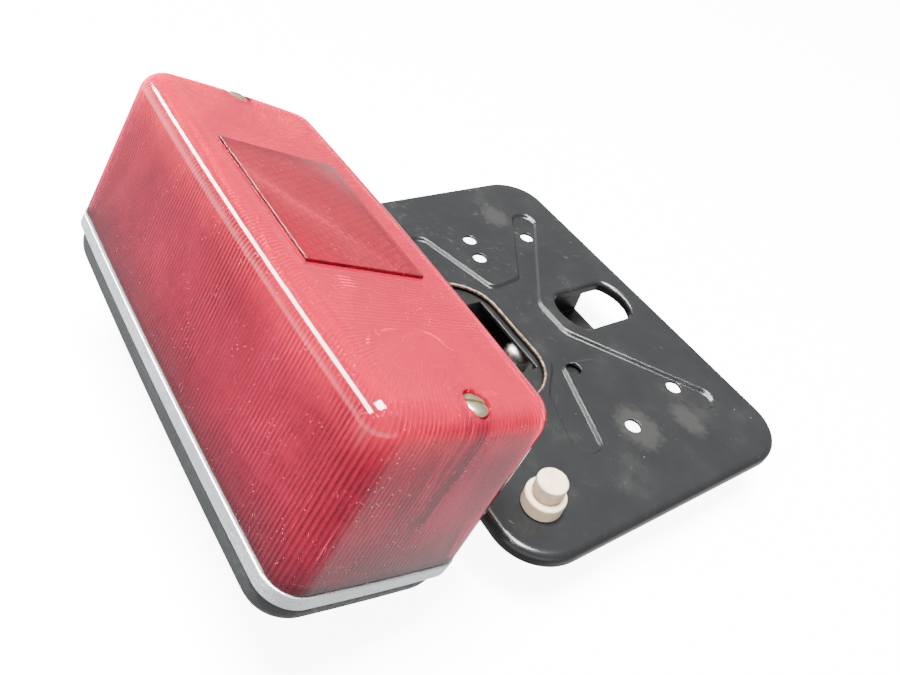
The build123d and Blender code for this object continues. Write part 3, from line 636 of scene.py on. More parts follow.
def lamp_finishes() -> dict[Slot, Finish]:
    """Every finish of the assembly, by its slot in the record."""
    return {
        Slot.HOLDER_PAINT: BlackStoving(
            "holder_black", (0.0070, 0.0076, 0.0080), (0.0095, 0.0100, 0.0104), 0.24),
        Slot.BRACKET_PAINT: BlackStoving(
            "bracket_black", (0.0040, 0.0042, 0.0045), (0.010, 0.0095, 0.0088), 0.36, plate_worn=False),
        Slot.CREAM_RUBBER: AgedRubber(
            "cream_rubber", (0.60, 0.46, 0.32), (0.68, 0.55, 0.41), 0.55, soft=0.15),
        Slot.BLACK_RUBBER: AgedRubber(
            "black_rubber", (0.012, 0.006, 0.006), (0.020, 0.012, 0.011), 0.6, grime=(0.03, 0.025, 0.02)),
        Slot.ZINC: PlatedMetal(
            "zinc_plate", (0.42, 0.42, 0.40), (0.56, 0.55, 0.50), 0.34, 1.0, 900.0, 0.00002),
        Slot.NICKEL: PlatedMetal(
            "nickel_plate", (0.60, 0.50, 0.31), (0.74, 0.66, 0.48), 0.30, 1.0, 900.0, 0.00002, stained=0.8),
        Slot.BASE_PAINT: Finish(
            "base_grey", (0.0170, 0.0200, 0.0212), (0.0225, 0.0255, 0.0268), 0.5, 0.0, 700.0, 0.00003),
        Slot.BRIGHT_TRIM: BrightBand(
            "bright_trim", (0.72, 0.76, 0.80), (0.97, 0.98, 0.99), 0.26, 1.0),
        Slot.WHITE_REFLECTOR: Finish(
            "white_enamel", (0.62, 0.61, 0.57), (0.70, 0.70, 0.67), 0.25, 0.0, 500.0),
        Slot.BRASS: PlatedMetal(
            "brass", (0.55, 0.38, 0.14), (0.66, 0.50, 0.22), 0.32, 1.0, 800.0, 0.00002),
        Slot.SOLDER: PlatedMetal(
            "solder", (0.40, 0.40, 0.41), (0.52, 0.52, 0.54), 0.42, 1.0, 1200.0, 0.00004),
        Slot.SPRING_STEEL: PlatedMetal(
            "spring_wire", (0.40, 0.40, 0.42), (0.5, 0.5, 0.52), 0.25, 1.0, 1500.0, 0.00001),
        Slot.BROWN_INSULATOR: Finish(
            "brown_phenolic", (0.045, 0.018, 0.009), (0.075, 0.032, 0.016), 0.38, 0.0, 1400.0),
        Slot.CLEAR_GLASS: ClearPart(
            "bulb_glass", (0.97, 0.98, 0.97), (0.90, 0.92, 0.90), 0.01, relief=0.00002),
        Slot.RED_LENS: RedAcrylic(
            "red_acrylic", (0.42, 0.0012, 0.046), (0.31, 0.0008, 0.030), 0.05),
        Slot.RED_REFLEX: RedAcrylic(
            "red_reflex_cover", (0.66, 0.012, 0.070), (0.60, 0.010, 0.060), 0.06,
            clear=0.85, fluted=0.0, honeycomb=0.45),
        Slot.CLEAR_WINDOW: ClearPart(
            "clear_window", (0.96, 0.95, 0.93), (0.88, 0.86, 0.82), 0.04, relief=0.00004),
    }


class Finishes:
    """The materials, made once and handed out by slot."""

    def __init__(self) -> None:
        """Build every material."""
        self.made = {slot: finish.make() for slot, finish in lamp_finishes().items()}

    def __getitem__(self, slot: Slot) -> bpy.types.Material:
        """The material of a slot."""
        return self.made[slot]

    def dress_cad(self) -> None:
        """Give every CAD node the material of the slot that the record names for it."""
        for part in frame["record"]["subparts"]:
            node = frame["nodes"][part["node"]]
            node.data.materials.clear()
            node.data.materials.append(self.made[Slot(part["material_slot"])])
            LOG.info("dressed %s as %s", part["node"], part["material_slot"])


# ---------------------------------------------------------------- shared shapes
@dataclass(frozen=True)
class LampFrame:
    """The lamp's own frame: z = 0 is the trim ring's top and +z points out through the lens."""

    origin: Vector
    axis: Vector

    @staticmethod
    def read() -> "LampFrame":
        """Take the frame from the joint that turns the bulb, which lies on the lamp's axis."""
        joint = next(j for j in frame["joints"] if j["name"] == "bulb_turn")
        return LampFrame(Vector(joint["pos_m"]), Vector(joint["axis"]).normalized())

    def matrix(self) -> Matrix:
        """The move from the lamp's frame, in metres, to the row's."""
        across = Vector((1, 0, 0))
        turn = Matrix((across, self.axis.cross(across), self.axis)).transposed()
        return Matrix.Translation(self.origin) @ turn.to_4x4()


def new_piece(name: str, mesh: bpy.types.Mesh, finish: bpy.types.Material, place: Matrix, body: Body,
              stands_for: Sequence[str] = ()) -> bpy.types.Object:
    """Put a finished mesh into the scene as a piece.

    Args:
        name: The piece's name.
        mesh: Its mesh, in the frame that place moves from.
        finish: Its material.
        place: The move into the row's frame, applied to the mesh.
        body: What it rides on.
        stands_for: The CAD nodes that it replaces.

    Returns:
        The piece.
    """
    mesh.transform(place)
    mesh.name = name
    if not mesh.materials:
        mesh.materials.append(finish)
    piece = bpy.data.objects.new(name, mesh)
    bpy.context.scene.collection.objects.link(piece)
    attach(piece, body.value)
    if stands_for:
        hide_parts(*stands_for)
    LOG.info("built %s: %d faces, rides on %s", name, len(mesh.polygons), body.value)
    return piece


def mesh_from(points: np.ndarray, faces: Sequence[Sequence[int]], name: str) -> bpy.types.Mesh:
    """A mesh from points and faces, with its doubles merged and its faces turned outwards."""
    mesh = bpy.data.meshes.new(name)
    mesh.from_pydata([tuple(p) for p in points], [], [tuple(f) for f in faces])
    work = bmesh.new()
    work.from_mesh(mesh)
    bmesh.ops.remove_doubles(work, verts=work.verts, dist=2e-7)
    bmesh.ops.dissolve_degenerate(work, edges=work.edges, dist=1e-7)
    bmesh.ops.recalc_face_normals(work, faces=work.faces)
    work.to_mesh(mesh)
    work.free()
    return mesh


def smooth(mesh: bpy.types.Mesh, angle: float = 32.0) -> bpy.types.Mesh:
    """Shade a mesh smooth, and keep edges sharper than the angle, in degrees."""
    mesh.polygons.foreach_set("use_smooth", [True] * len(mesh.polygons))
    mesh.set_sharp_from_angle(angle=math.radians(angle))
    return mesh


def lathe(profile: Sequence[tuple[float, float]], steps: int, name: str) -> bpy.types.Mesh:
    """A closed solid turned from (radius, height) points about z, given from the axis back to the axis."""
    points, faces = [], []
    for radius, height in profile:
        for k in range(steps):
            angle = 2 * math.pi * k / steps
            points.append((radius * math.cos(angle), radius * math.sin(angle), height))
    for row in range(len(profile) - 1):
        for k in range(steps):
            here, after = row * steps + k, row * steps + (k + 1) % steps
            faces.append((here, after, after + steps, here + steps))
    return mesh_from(np.array(points), faces, name)


def box_mesh(low: Sequence[float], high: Sequence[float], name: str) -> bpy.types.Mesh:
    """A box given by its two corners, used as a cutter."""
    corners = [(x, y, z) for x in (low[0], high[0]) for y in (low[1], high[1]) for z in (low[2], high[2])]
    faces = [(0, 1, 3, 2), (4, 6, 7, 5), (0, 4, 5, 1), (2, 3, 7, 6), (0, 2, 6, 4), (1, 5, 7, 3)]
    return mesh_from(np.array(corners), faces, name)


def carve(body: bpy.types.Mesh, tool: bpy.types.Mesh, operation: str) -> bpy.types.Mesh:
    """Join or cut two closed meshes.

    Args:
        body: The mesh to change.
        tool: What is joined to it or cut from it.
        operation: DIFFERENCE or UNION.

    Returns:
        The new mesh.
    """
    host = bpy.data.objects.new("carve_body", body)
    cutter = bpy.data.objects.new("carve_tool", tool)
    for thing in (host, cutter):
        bpy.context.scene.collection.objects.link(thing)
    modifier = host.modifiers.new("carve", "BOOLEAN")
    modifier.operation = operation
    modifier.solver = "EXACT"
    modifier.object = cutter
    evaluated = host.evaluated_get(bpy.context.evaluated_depsgraph_get())
    result = bpy.data.meshes.new_from_object(evaluated)
    bpy.data.objects.remove(host)
    bpy.data.objects.remove(cutter)
    return result


@dataclass(frozen=True)
class Barrel:
    """A rectangle with outward-bowed sides and round corners."""

    half_x: float
    half_y: float
    bow_x: float
    bow_y: float
    corner: float

    def inset(self, amount: float) -> "Barrel":
        """The same outline, moved inwards."""
        return Barrel(self.half_x - amount, self.half_y - amount, self.bow_x, self.bow_y,
                      max(self.corner - amount, 0.0006))

    def points(self, share: np.ndarray) -> np.ndarray:
        """Points at shares of the way round, from 0 to 1, anticlockwise from the middle of the +x side.

        Args:
            share: Where each point lies on the perimeter.

        Returns:
            One (x, y) row for each point.
        """
        a, b, r = self.half_x - self.corner, self.half_y - self.corner, self.corner
        arc = math.pi * r / 2
        runs = np.array([b, arc, 2 * a, arc, 2 * b, arc, 2 * a, arc, b])
        ends = np.concatenate([[0.0], np.cumsum(runs)])
        length = np.asarray(share) % 1.0 * ends[-1]
        out = np.zeros((len(length), 2))
        starts = [(a + r, 0.0), (a, b), (a, b + r), (-a, b), (-a - r, b), (-a, -b), (-a, -b - r), (a, -b),
                  (a + r, -b)]
        ways = [(0, 1), None, (-1, 0), None, (0, -1), None, (1, 0), None, (0, 1)]
        for k, (start, way) in enumerate(zip(starts, ways)):
            inside = (length >= ends[k]) & (length <= ends[k + 1])
            along = length[inside] - ends[k]
            if way is None:
                angle = along / r + (k // 2) * math.pi / 2
                out[inside] = np.column_stack([start[0] + r * np.cos(angle), start[1] + r * np.sin(angle)])
            else:
                out[inside] = np.array(start) + np.outer(along, way)
        bow_x = 1 + self.bow_x / self.half_x * (1 - (out[:, 1] / self.half_y) ** 2)
        bow_y = 1 + self.bow_y / self.half_y * (1 - (out[:, 0] / self.half_x) ** 2)
        return out * np.column_stack([bow_x, bow_y])


# ---------------------------------------------------------------- lens
@dataclass(frozen=True)
class LensSizes:
    """The red lens's sizes in the lamp's frame, in metres."""

    foot: Barrel = Barrel(0.0843, 0.0333, 0.0005, 0.0012, 0.0085)
    crown: Barrel = Barrel(0.0806, 0.0330, 0.0016, 0.0022, 0.0085)
    low: float = 0.0005
    height: float = 0.058
    edge: float = 0.0075
    wall: float = 0.0026
    flutes: int = 292
    flute_depth: float = 0.00042
    columns_per_flute: int = 4
    fade: float = 0.004
    screw_x: float = 0.0754
    screw_hole: float = 0.00235
    well: float = 0.00435
    well_depth: float = 0.0031
    tube: float = 0.006
    tube_low: float = 0.0198
    tube_neck: tuple[tuple[float, float], ...] = (
        (0.006, -0.003), (0.0052, 0.0), (0.0034, 0.0014), (0.0, 0.0014))
    bend_rows: int = 9
    window_half_length: float = 0.042
    window_low: float = 0.009
    window_high: float = 0.033
    window_inner_y: float = 0.026
    window_outer_y: float = 0.042
    past: float = 0.002
    tube_steps: int = 48
    hole_steps: int = 40
    sharp_above: float = 38.0


class Lens:
    """The red lens: a deep moulding with round edges, fluted inside its walls, with two screw tubes."""

    def __init__(self, sizes: LensSizes, lamp: LampFrame, finishes: Finishes) -> None:
        """Keep what the lens is made from."""
        self.sizes = sizes
        self.lamp = lamp
        self.finishes = finishes

    def rows(self, inset: float) -> list[tuple[Barrel, float, float]]:
        """Outlines from the foot up, round the top edge and in to the middle of the rear face.

        Args:
            inset: 0 for the outside, the wall for the inside.

        Returns:
            Outline, height and share of the way in to the spine, for each row.
        """
        s = self.sizes
        top, edge = s.height - inset, s.edge - inset
        low = s.low if inset == 0 else s.low - 0.00001
        rows = []
        levels = (0.0, 0.03, 0.08, 0.25, 0.5, 0.75, 0.95) if inset else (0.0, 0.012, 0.5)
        for share in levels:
            rows.append((low + share * (top - edge - low), 0.0))
        for k in range(s.bend_rows + 1):
            angle = k / s.bend_rows * math.pi / 2
            rows.append((top - edge * (1 - math.sin(angle)), edge * (1 - math.cos(angle))))
        shaped = []
        for height, pull in rows:
            t = (height - s.low) / (s.height - s.low)
            mixed = [f + (c - f) * t for f, c in zip(self.numbers(s.foot), self.numbers(s.crown))]
            shaped.append((Barrel(*mixed).inset(inset + pull), height, 0.0))
        last = shaped[-1][0]
        for inward in (0.04, 0.3, 0.65, 1.0):
            shaped.append((last, top, inward))
        return shaped

    @staticmethod
    def numbers(outline: Barrel) -> tuple[float, ...]:
        """An outline's five sizes."""
        return outline.half_x, outline.half_y, outline.bow_x, outline.bow_y, outline.corner

    def skin(self, inset: float, columns: int) -> np.ndarray:
        """Points of one skin, as rows by columns by xyz."""
        share = (np.arange(columns) + 0.5) / columns
        skin = []
        for outline, height, inward in self.rows(inset):
            flat = outline.points(share)
            spine = np.column_stack([np.clip(flat[:, 0], outline.half_y - outline.half_x,
                                             outline.half_x - outline.half_y), np.zeros(columns)])
            flat = flat * (1 - inward) + spine * inward
            skin.append(np.column_stack([flat, np.full(columns, height)]))
        return np.array(skin)

    def shell(self) -> bpy.types.Mesh:
        """The closed wall, with the numbers that the flutes and the finish read."""
        s = self.sizes
        columns = s.flutes * s.columns_per_flute
        outer, inner = self.skin(0.0, columns), self.skin(s.wall, columns)
        rows = [*inner[::-1], *outer]
        turn = np.tile((np.arange(columns) + 0.5) / s.columns_per_flute, len(rows))
        weight, outside = [], []
        for skin, is_outer in ((inner[::-1], 0.0), (outer, 1.0)):
            for row in skin:
                height = row[0, 2]
                grown = min(1.0, max(0.0, (height - s.fade) / s.fade)) * (1.0 - is_outer)
                weight += [grown] * columns
                outside += [is_outer] * columns
        weight[:2 * columns] = [0.0] * columns + [0.5] * columns
        faces = []
        for row in range(len(rows) - 1):
            for k in range(columns):
                after = (k + 1) % columns
                first = row * columns
                faces.append((first + k, first + after, first + columns + after, first + columns + k))
        mesh = bpy.data.meshes.new("lens_wall")
        mesh.from_pydata([tuple(p) for p in np.concatenate(rows)], [], faces)
        wave = np.abs(np.sin(math.pi * turn))
        for name, numbers in (("turn", turn), ("wave", wave), ("rib", weight), ("outside", outside)):
            layer = mesh.attributes.new(name, "FLOAT", "POINT")
            layer.data.foreach_set("value", np.array(numbers, np.float32))
        work = bmesh.new()
        work.from_mesh(mesh)
        bmesh.ops.remove_doubles(work, verts=work.verts, dist=2e-7)
        bmesh.ops.recalc_face_normals(work, faces=work.faces)
        work.to_mesh(mesh)
        work.free()
        return mesh

    def fluted(self) -> bpy.types.Mesh:
        """Grow half-round ribs on the inside of the wall, along its depth and over the top edge."""
        tree = Grow("lens_flutes")
        depth = tree.size("Flute Depth", self.sizes.flute_depth)
        wave = tree.calc("ABSOLUTE", tree.calc("SINE", tree.calc("MULTIPLY", tree.named("turn"), math.pi)))
        height = tree.calc("MULTIPLY", tree.calc("MULTIPLY", wave, tree.named("rib")), depth)
        normal = tree.add("GeometryNodeInputNormal").outputs[0]
        offset = tree.add("ShaderNodeVectorMath", {0: normal, "Scale": height}, operation="SCALE").outputs[0]
        moved = tree.add("GeometryNodeSetPosition", {"Geometry": tree.start.outputs[0], "Offset": offset})
        return tree.grow(self.shell(), moved.outputs[0], self.finishes[Slot.RED_LENS], "lens_fluted")

    def build(self) -> None:
        """Cut the wells, the holes and the two openings, and put the lens in place."""
        s = self.sizes
        mesh = self.fluted()
        seat = s.height - s.well_depth
        for side in (-1, 1):
            place = Matrix.Translation((side * s.screw_x, 0, 0))
            neck = [(radius, seat + rise) for radius, rise in s.tube_neck]
            tube = lathe([(0, s.tube_low), (s.tube, s.tube_low), *neck], s.tube_steps, "tube")
            tube.transform(place)
            mesh = carve(mesh, tube, "UNION")
            high = s.height + s.past
            for radius, low in ((s.screw_hole, s.tube_low - s.past), (s.well, seat)):
                hole = lathe([(0, low), (radius, low), (radius, high), (0, high)], s.hole_steps, "hole")
                hole.transform(place)
                mesh = carve(mesh, hole, "DIFFERENCE")
        for low, high in (Reflex.SIZES.opening(s), self.window_box()):
            mesh = carve(mesh, box_mesh(low, high, "opening"), "DIFFERENCE")
        mesh = smooth(mesh, s.sharp_above)
        new_piece("lens_moulding", mesh, self.finishes[Slot.RED_LENS], self.lamp.matrix(), Body.LENS,
                  ["lens"])

    def window_box(self) -> tuple[tuple[float, ...], tuple[float, ...]]:
        """Where the clear plate window sits in the wall that faces the number plate."""
        s = self.sizes
        return ((-s.window_half_length, s.window_inner_y, s.window_low),
                (s.window_half_length, s.window_outer_y, s.window_high))


# ---------------------------------------------------------------- reflex reflector
@dataclass(frozen=True)
class ReflexSizes:
    """The reflex reflector's sizes in the lamp's frame, in metres."""

    length: float = 0.0598
    width: float = 0.0426
    x: float = -0.0056
    y: float = -0.0034
    raised: float = 0.0011
    depth: float = 0.0052
    cover: float = 0.0026
    rim: float = 0.0011
    cell: float = 0.0030
    cell_wall: float = 0.0008
    cell_depth: float = 0.0014
    cell_drop: float = 0.0003
    floor: float = 0.0008
    play: float = 0.00005
    eased: float = 0.0003

    def opening(self, lens: LensSizes) -> tuple[tuple[float, ...], tuple[float, ...]]:
        """The lens's rectangular opening, as two corners of a box."""
        half_x, half_y = self.length / 2, self.width / 2
        return ((self.x - half_x, self.y - half_y, lens.height - self.depth - 0.001),
                (self.x + half_x, self.y + half_y, lens.height + 0.002))


class Reflex:
    """A square-edged cover that stands a little proud, over a tray of honeycomb cells."""

    SIZES = ReflexSizes()
    CELLS = Finish("reflex_cells", (0.75, 0.02, 0.05), (0.62, 0.01, 0.035), 0.18, 0.6, 900.0, 0.00001)
    TRAY = Finish("reflex_tray", (0.03, 0.002, 0.004), (0.02, 0.001, 0.003), 0.3, 0.0, 900.0, 0.00001)

    def __init__(self, lens: LensSizes, lamp: LampFrame, finishes: Finishes) -> None:
        """Keep what the reflector is made from."""
        self.lens = lens
        self.lamp = lamp
        self.finishes = finishes

    def cover(self) -> bpy.types.Mesh:
        """The clear red cover, a slab with slightly eased edges."""
        s = self.SIZES
        top = self.lens.height + s.raised
        mesh = box_mesh((s.x - s.length / 2, s.y - s.width / 2, top - s.cover),
                        (s.x + s.length / 2, s.y + s.width / 2, top), "cover")
        work = bmesh.new()
        work.from_mesh(mesh)
        bmesh.ops.bevel(work, geom=[e for e in work.edges if min(v.co.z for v in e.verts) > top - 1e-5],
                        offset=s.eased, segments=3, profile=0.5, affect="EDGES")
        work.to_mesh(mesh)
        work.free()
        for name, number in (("wave", 1.0), ("outside", 1.0)):
            layer = mesh.attributes.new(name, "FLOAT", "POINT")
            layer.data.foreach_set("value", np.full(len(mesh.vertices), number, np.float32))
        # Marks the cover's side faces for painted shade.
        shaded_flank = mesh.attributes.new("shaded_flank", "FLOAT", "FACE")
        shaded_flank.data.foreach_set("value", [1.0 if abs(face.normal.z) < 0.6 else 0.0 for face in mesh.polygons])
        return smooth(mesh)

    def tray(self) -> bpy.types.Mesh:
        """The dark tray with a rim, under the cover."""
        s = self.SIZES
        low = self.lens.height - s.depth
        floor = low + s.floor
        top = self.lens.height + s.raised - s.cover - s.play
        half_x, half_y = s.length / 2 - s.play, s.width / 2 - s.play
        mesh = box_mesh((s.x - half_x, s.y - half_y, low), (s.x + half_x, s.y + half_y, top), "tray")
        hollow = box_mesh((s.x - half_x + s.rim, s.y - half_y + s.rim, floor),
                          (s.x + half_x - s.rim, s.y + half_y - s.rim, top + 0.001), "hollow")
        return carve(mesh, hollow, "DIFFERENCE")

    def honeycomb(self, finish: bpy.types.Material) -> bpy.types.Mesh:
        """Six-sided cups on a staggered grid, inside the tray."""
        s = self.SIZES
        tree = Grow("reflex_honeycomb")
        pitch = tree.size("Cell Pitch", s.cell)
        wall = tree.size("Cell Wall", s.cell_wall)
        depth = tree.size("Cell Depth", s.cell_depth)
        span_x = tree.size("Length", s.length - 2 * s.rim - 0.0002)
        span_y = tree.size("Width", s.width - 2 * s.rim - 0.0002)
        row_gap = tree.calc("MULTIPLY", pitch, math.sqrt(3) / 2)
        across = tree.calc("FLOOR", tree.calc("SUBTRACT", tree.calc("DIVIDE", span_x, pitch), 0.5))
        rows = tree.calc("FLOOR", tree.calc("DIVIDE", span_y, row_gap))
        grid = tree.add("GeometryNodeMeshGrid", {
            "Size X": tree.calc("MULTIPLY", tree.calc("SUBTRACT", across, 1.0), pitch),
            "Size Y": tree.calc("MULTIPLY", tree.calc("SUBTRACT", rows, 1.0), row_gap),
            "Vertices X": across, "Vertices Y": rows})
        index = tree.add("GeometryNodeInputIndex").outputs[0]
        odd = tree.calc("MODULO", tree.calc("MODULO", index, rows), 2.0)
        shift = tree.calc("MULTIPLY", tree.calc("SUBTRACT", odd, 0.5), tree.calc("MULTIPLY", pitch, 0.5))
        offset = tree.add("ShaderNodeCombineXYZ", {"X": shift}).outputs[0]
        staggered = tree.add("GeometryNodeSetPosition", {"Geometry": grid.outputs[0], "Offset": offset})
        radius = tree.calc("DIVIDE", tree.calc("SUBTRACT", pitch, wall), math.sqrt(3))
        cup = tree.add("GeometryNodeMeshCone", {"Vertices": 6, "Side Segments": 1, "Radius Top": radius,
                                                "Radius Bottom": 0.00004, "Depth": depth}, fill_type="NGON")
        turned = tree.add("GeometryNodeTransform", {"Geometry": cup.outputs[0],
                                                    "Rotation": (0.0, 0.0, math.pi / 6)})
        placed = tree.add("GeometryNodeInstanceOnPoints", {"Points": staggered.outputs[0],
                                                           "Instance": turned.outputs[0]})
        mesh = tree.grow(bpy.data.meshes.new("honeycomb_seed"), placed.outputs[0], finish, "honeycomb")
        low = self.lens.height + s.raised - s.cover - s.cell_depth - s.cell_drop
        mesh.transform(Matrix.Translation((s.x, s.y, low)))
        return mesh

    def build(self) -> None:
        """Put the cover, the tray and the honeycomb in place."""
        place = self.lamp.matrix()
        new_piece("reflex_cover", self.cover(), self.finishes[Slot.RED_REFLEX], place, Body.LENS,
                  ["reflex_reflector"])
        new_piece("reflex_tray", self.tray(), self.TRAY.make(), place, Body.LENS)
        finish = self.CELLS.make()
        new_piece("reflex_cells", self.honeycomb(finish), finish, place, Body.LENS)


# ---------------------------------------------------------------- screws, spring and filaments
@dataclass(frozen=True)
class ScrewSizes:
    """A slotted lens screw's sizes in the lamp's frame, in metres."""

    radius: float = 0.002
    head: float = 0.0038
    head_height: float = 0.0025
    slot: float = 0.0011
    slot_depth: float = 0.0017
    seat_z: float = 0.0555
    tip_z: float = 0.0075
    pitch: float = 0.0007
    thread_depth: float = 0.00035
    threaded: float = 0.016
    point: float = 0.0006
    rim: float = 0.0013
    thread_start: float = 0.0003
    slot_reach: float = 0.006
    past: float = 0.002
    steps: int = 36
    rows_per_turn: int = 6
    dome_steps: int = 6
    sharp_above: float = 40.0


class LensScrew:
    """A slotted screw with a domed head and a cut thread at its tip."""

    def __init__(self, sizes: ScrewSizes, lamp: LampFrame, finishes: Finishes) -> None:
        """Keep what the screw is made from."""
        self.sizes = sizes
        self.lamp = lamp
        self.finishes = finishes

    def blank(self) -> bpy.types.Mesh:
        """The turned blank, with close rows where the thread is cut."""
        s = self.sizes
        top = s.seat_z + s.head_height
        profile = [(0.0, s.tip_z), (s.radius - s.point, s.tip_z), (s.radius, s.tip_z + s.point)]
        rows = int(s.threaded / s.pitch * s.rows_per_turn)
        profile += [(s.radius, s.tip_z + s.point + s.threaded * k / rows) for k in range(1, rows + 1)]
        profile += [(s.radius, s.seat_z), (s.head, s.seat_z), (s.head, s.seat_z + s.rim)]
        for k in range(1, s.dome_steps + 1):
            angle = k / s.dome_steps * math.pi / 2
            profile.append((s.head * math.cos(angle) if k < s.dome_steps else 0.0,
                            s.seat_z + s.rim + (top - s.seat_z - s.rim) * math.sin(angle)))
        return lathe(profile, s.steps, "screw_blank")

    def build(self, name: str, x: float, slot_turn: float, body: Body, node: str) -> None:
        """Cut the thread and the slot, and put the screw in place.

        Args:
            name: The piece's name.
            x: Its place along the lamp.
            slot_turn: The slot's angle in degrees.
            body: What it rides on.
            node: The CAD node that it stands for.
        """
        s = self.sizes
        tree = Grow("screw_thread")
        pitch = tree.size("Thread Pitch", s.pitch)
        depth = tree.size("Thread Depth", s.thread_depth)
        length = tree.size("Thread Length", s.threaded)
        position = tree.add("GeometryNodeInputPosition").outputs[0]
        place = tree.add("ShaderNodeSeparateXYZ", {0: position}).outputs
        angle = tree.calc("DIVIDE", tree.calc("ARCTAN2", place[1], place[0]), 2 * math.pi)
        height = tree.calc("SUBTRACT", place[2], s.tip_z)
        climb = tree.calc("SUBTRACT", tree.calc("DIVIDE", height, pitch), angle)
        groove = tree.calc("ABSOLUTE", tree.calc("SUBTRACT", tree.calc("FRACT", climb), 0.5))
        reach = tree.calc("MULTIPLY", tree.calc("LESS_THAN", height, length),
                          tree.calc("GREATER_THAN", height, s.thread_start))
        cut = tree.calc("MULTIPLY", tree.calc("MULTIPLY", groove, reach), tree.calc("MULTIPLY", depth, -2.0))
        normal = tree.add("GeometryNodeInputNormal").outputs[0]
        offset = tree.add("ShaderNodeVectorMath", {0: normal, "Scale": cut}, operation="SCALE").outputs[0]
        moved = tree.add("GeometryNodeSetPosition", {"Geometry": tree.start.outputs[0], "Offset": offset})
        mesh = tree.grow(self.blank(), moved.outputs[0], self.finishes[Slot.NICKEL], name)
        top = s.seat_z + s.head_height
        slot = box_mesh((-s.slot_reach, -s.slot / 2, top - s.slot_depth),
                        (s.slot_reach, s.slot / 2, top + s.past), "slot")
        slot.transform(Matrix.Rotation(math.radians(slot_turn), 4, "Z"))
        mesh = smooth(carve(mesh, slot, "DIFFERENCE"), s.sharp_above)
        moved_along = self.lamp.matrix() @ Matrix.Translation((x, 0, 0))
        new_piece(name, mesh, self.finishes[Slot.NICKEL], moved_along, body, [node])


@dataclass(frozen=True)
class FilamentSizes:
    """The bulb's two filaments in the lamp's frame, in metres."""

    low: float = -0.0035
    reach: float = 0.0032
    wire: float = 0.00022
    coil: float = 0.00045
    turns: int = 9
    steps: int = 12
    coils: tuple[tuple[float, float], ...] = ((-0.0018, 0.023), (0.0018, 0.027))


class Filaments:
    """The coiled filaments on their support wires."""

    def __init__(self, sizes: FilamentSizes, lamp: LampFrame, finishes: Finishes) -> None:
        """Keep what the filaments are made from."""
        self.sizes = sizes
        self.lamp = lamp
        self.finishes = finishes

    def build(self) -> None:
        """Sweep each coil and its wires from a line, and put them in place."""
        s = self.sizes
        points, edges = [], []
        for y, height in s.coils:
            start = len(points)
            points.append((-s.reach, y, s.low))
            for k in range(s.turns * s.steps + 1):
                share = k / (s.turns * s.steps)
                angle = 2 * math.pi * s.turns * share
                points.append((-s.reach + 2 * s.reach * share, y + s.coil * math.sin(angle),
                               height + s.coil * math.cos(angle)))
            points.append((s.reach, y, s.low))
            edges += [(k, k + 1) for k in range(start, len(points) - 1)]
        line = bpy.data.meshes.new("filament_line")
        line.from_pydata(points, edges, [])
        tree = Grow("filament_wire")
        thick = tree.size("Wire Radius", s.wire)
        curve = tree.add("GeometryNodeMeshToCurve", {"Mesh": tree.start.outputs[0]})
        circle = tree.add("GeometryNodeCurvePrimitiveCircle", {"Resolution": 6, "Radius": thick})
        tube = tree.add("GeometryNodeCurveToMesh", {
            "Curve": curve.outputs[0], "Profile Curve": circle.outputs[0], "Fill Caps": True})
        mesh = tree.grow(line, tube.outputs[0], self.finishes[Slot.SPRING_STEEL], "filaments")
        new_piece("filament_coils", smooth(mesh), self.finishes[Slot.SPRING_STEEL], self.lamp.matrix(),
                  Body.BULB, ["bulb_filaments"])


@dataclass(frozen=True)
class SpringSizes:
    """The contact spring's sizes in the lamp's frame, in metres."""

    radius: float = 0.0046
    wire: float = 0.00035
    low: float = -0.0145
    high: float = -0.0101
    turns: float = 3.0
    travel: float = 0.002


class ContactSpring:
    """The coil under the contact disc, which closes up as the bulb is pushed in."""

    def __init__(self, sizes: SpringSizes, lamp: LampFrame, finishes: Finishes) -> None:
        """Keep what the spring is made from."""
        self.sizes = sizes
        self.lamp = lamp
        self.finishes = finishes

    def build(self) -> None:
        """Sweep the wire along its coil and put it in place."""
        s = self.sizes
        tree = Grow("contact_coil")
        radius = tree.size("Coil Radius", s.radius)
        height = tree.size("Coil Height", s.high - s.low - 2 * s.wire)
        turns = tree.size("Turns", s.turns)
        thick = tree.size("Wire Radius", s.wire)
        coil = tree.add("GeometryNodeCurveSpiral", {
            "Resolution": 40, "Rotations": turns, "Height": height, "Start Radius": radius,
            "End Radius": radius})
        circle = tree.add("GeometryNodeCurvePrimitiveCircle", {"Resolution": 12, "Radius": thick})
        wire = tree.add("GeometryNodeCurveToMesh", {
            "Curve": coil.outputs[0], "Profile Curve": circle.outputs[0], "Fill Caps": True})
        mesh = tree.grow(bpy.data.meshes.new("coil_seed"), wire.outputs[0], self.finishes[Slot.SPRING_STEEL],
                         "contact_coil")
        place = self.lamp.matrix() @ Matrix.Translation((0, 0, s.low + s.wire))
        piece = new_piece("contact_coil", smooth(mesh), self.finishes[Slot.SPRING_STEEL], place, Body.HOLDER,
                          ["contact_spring"])
        foot = self.lamp.matrix() @ Vector((0, 0, s.low))
        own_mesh(piece)


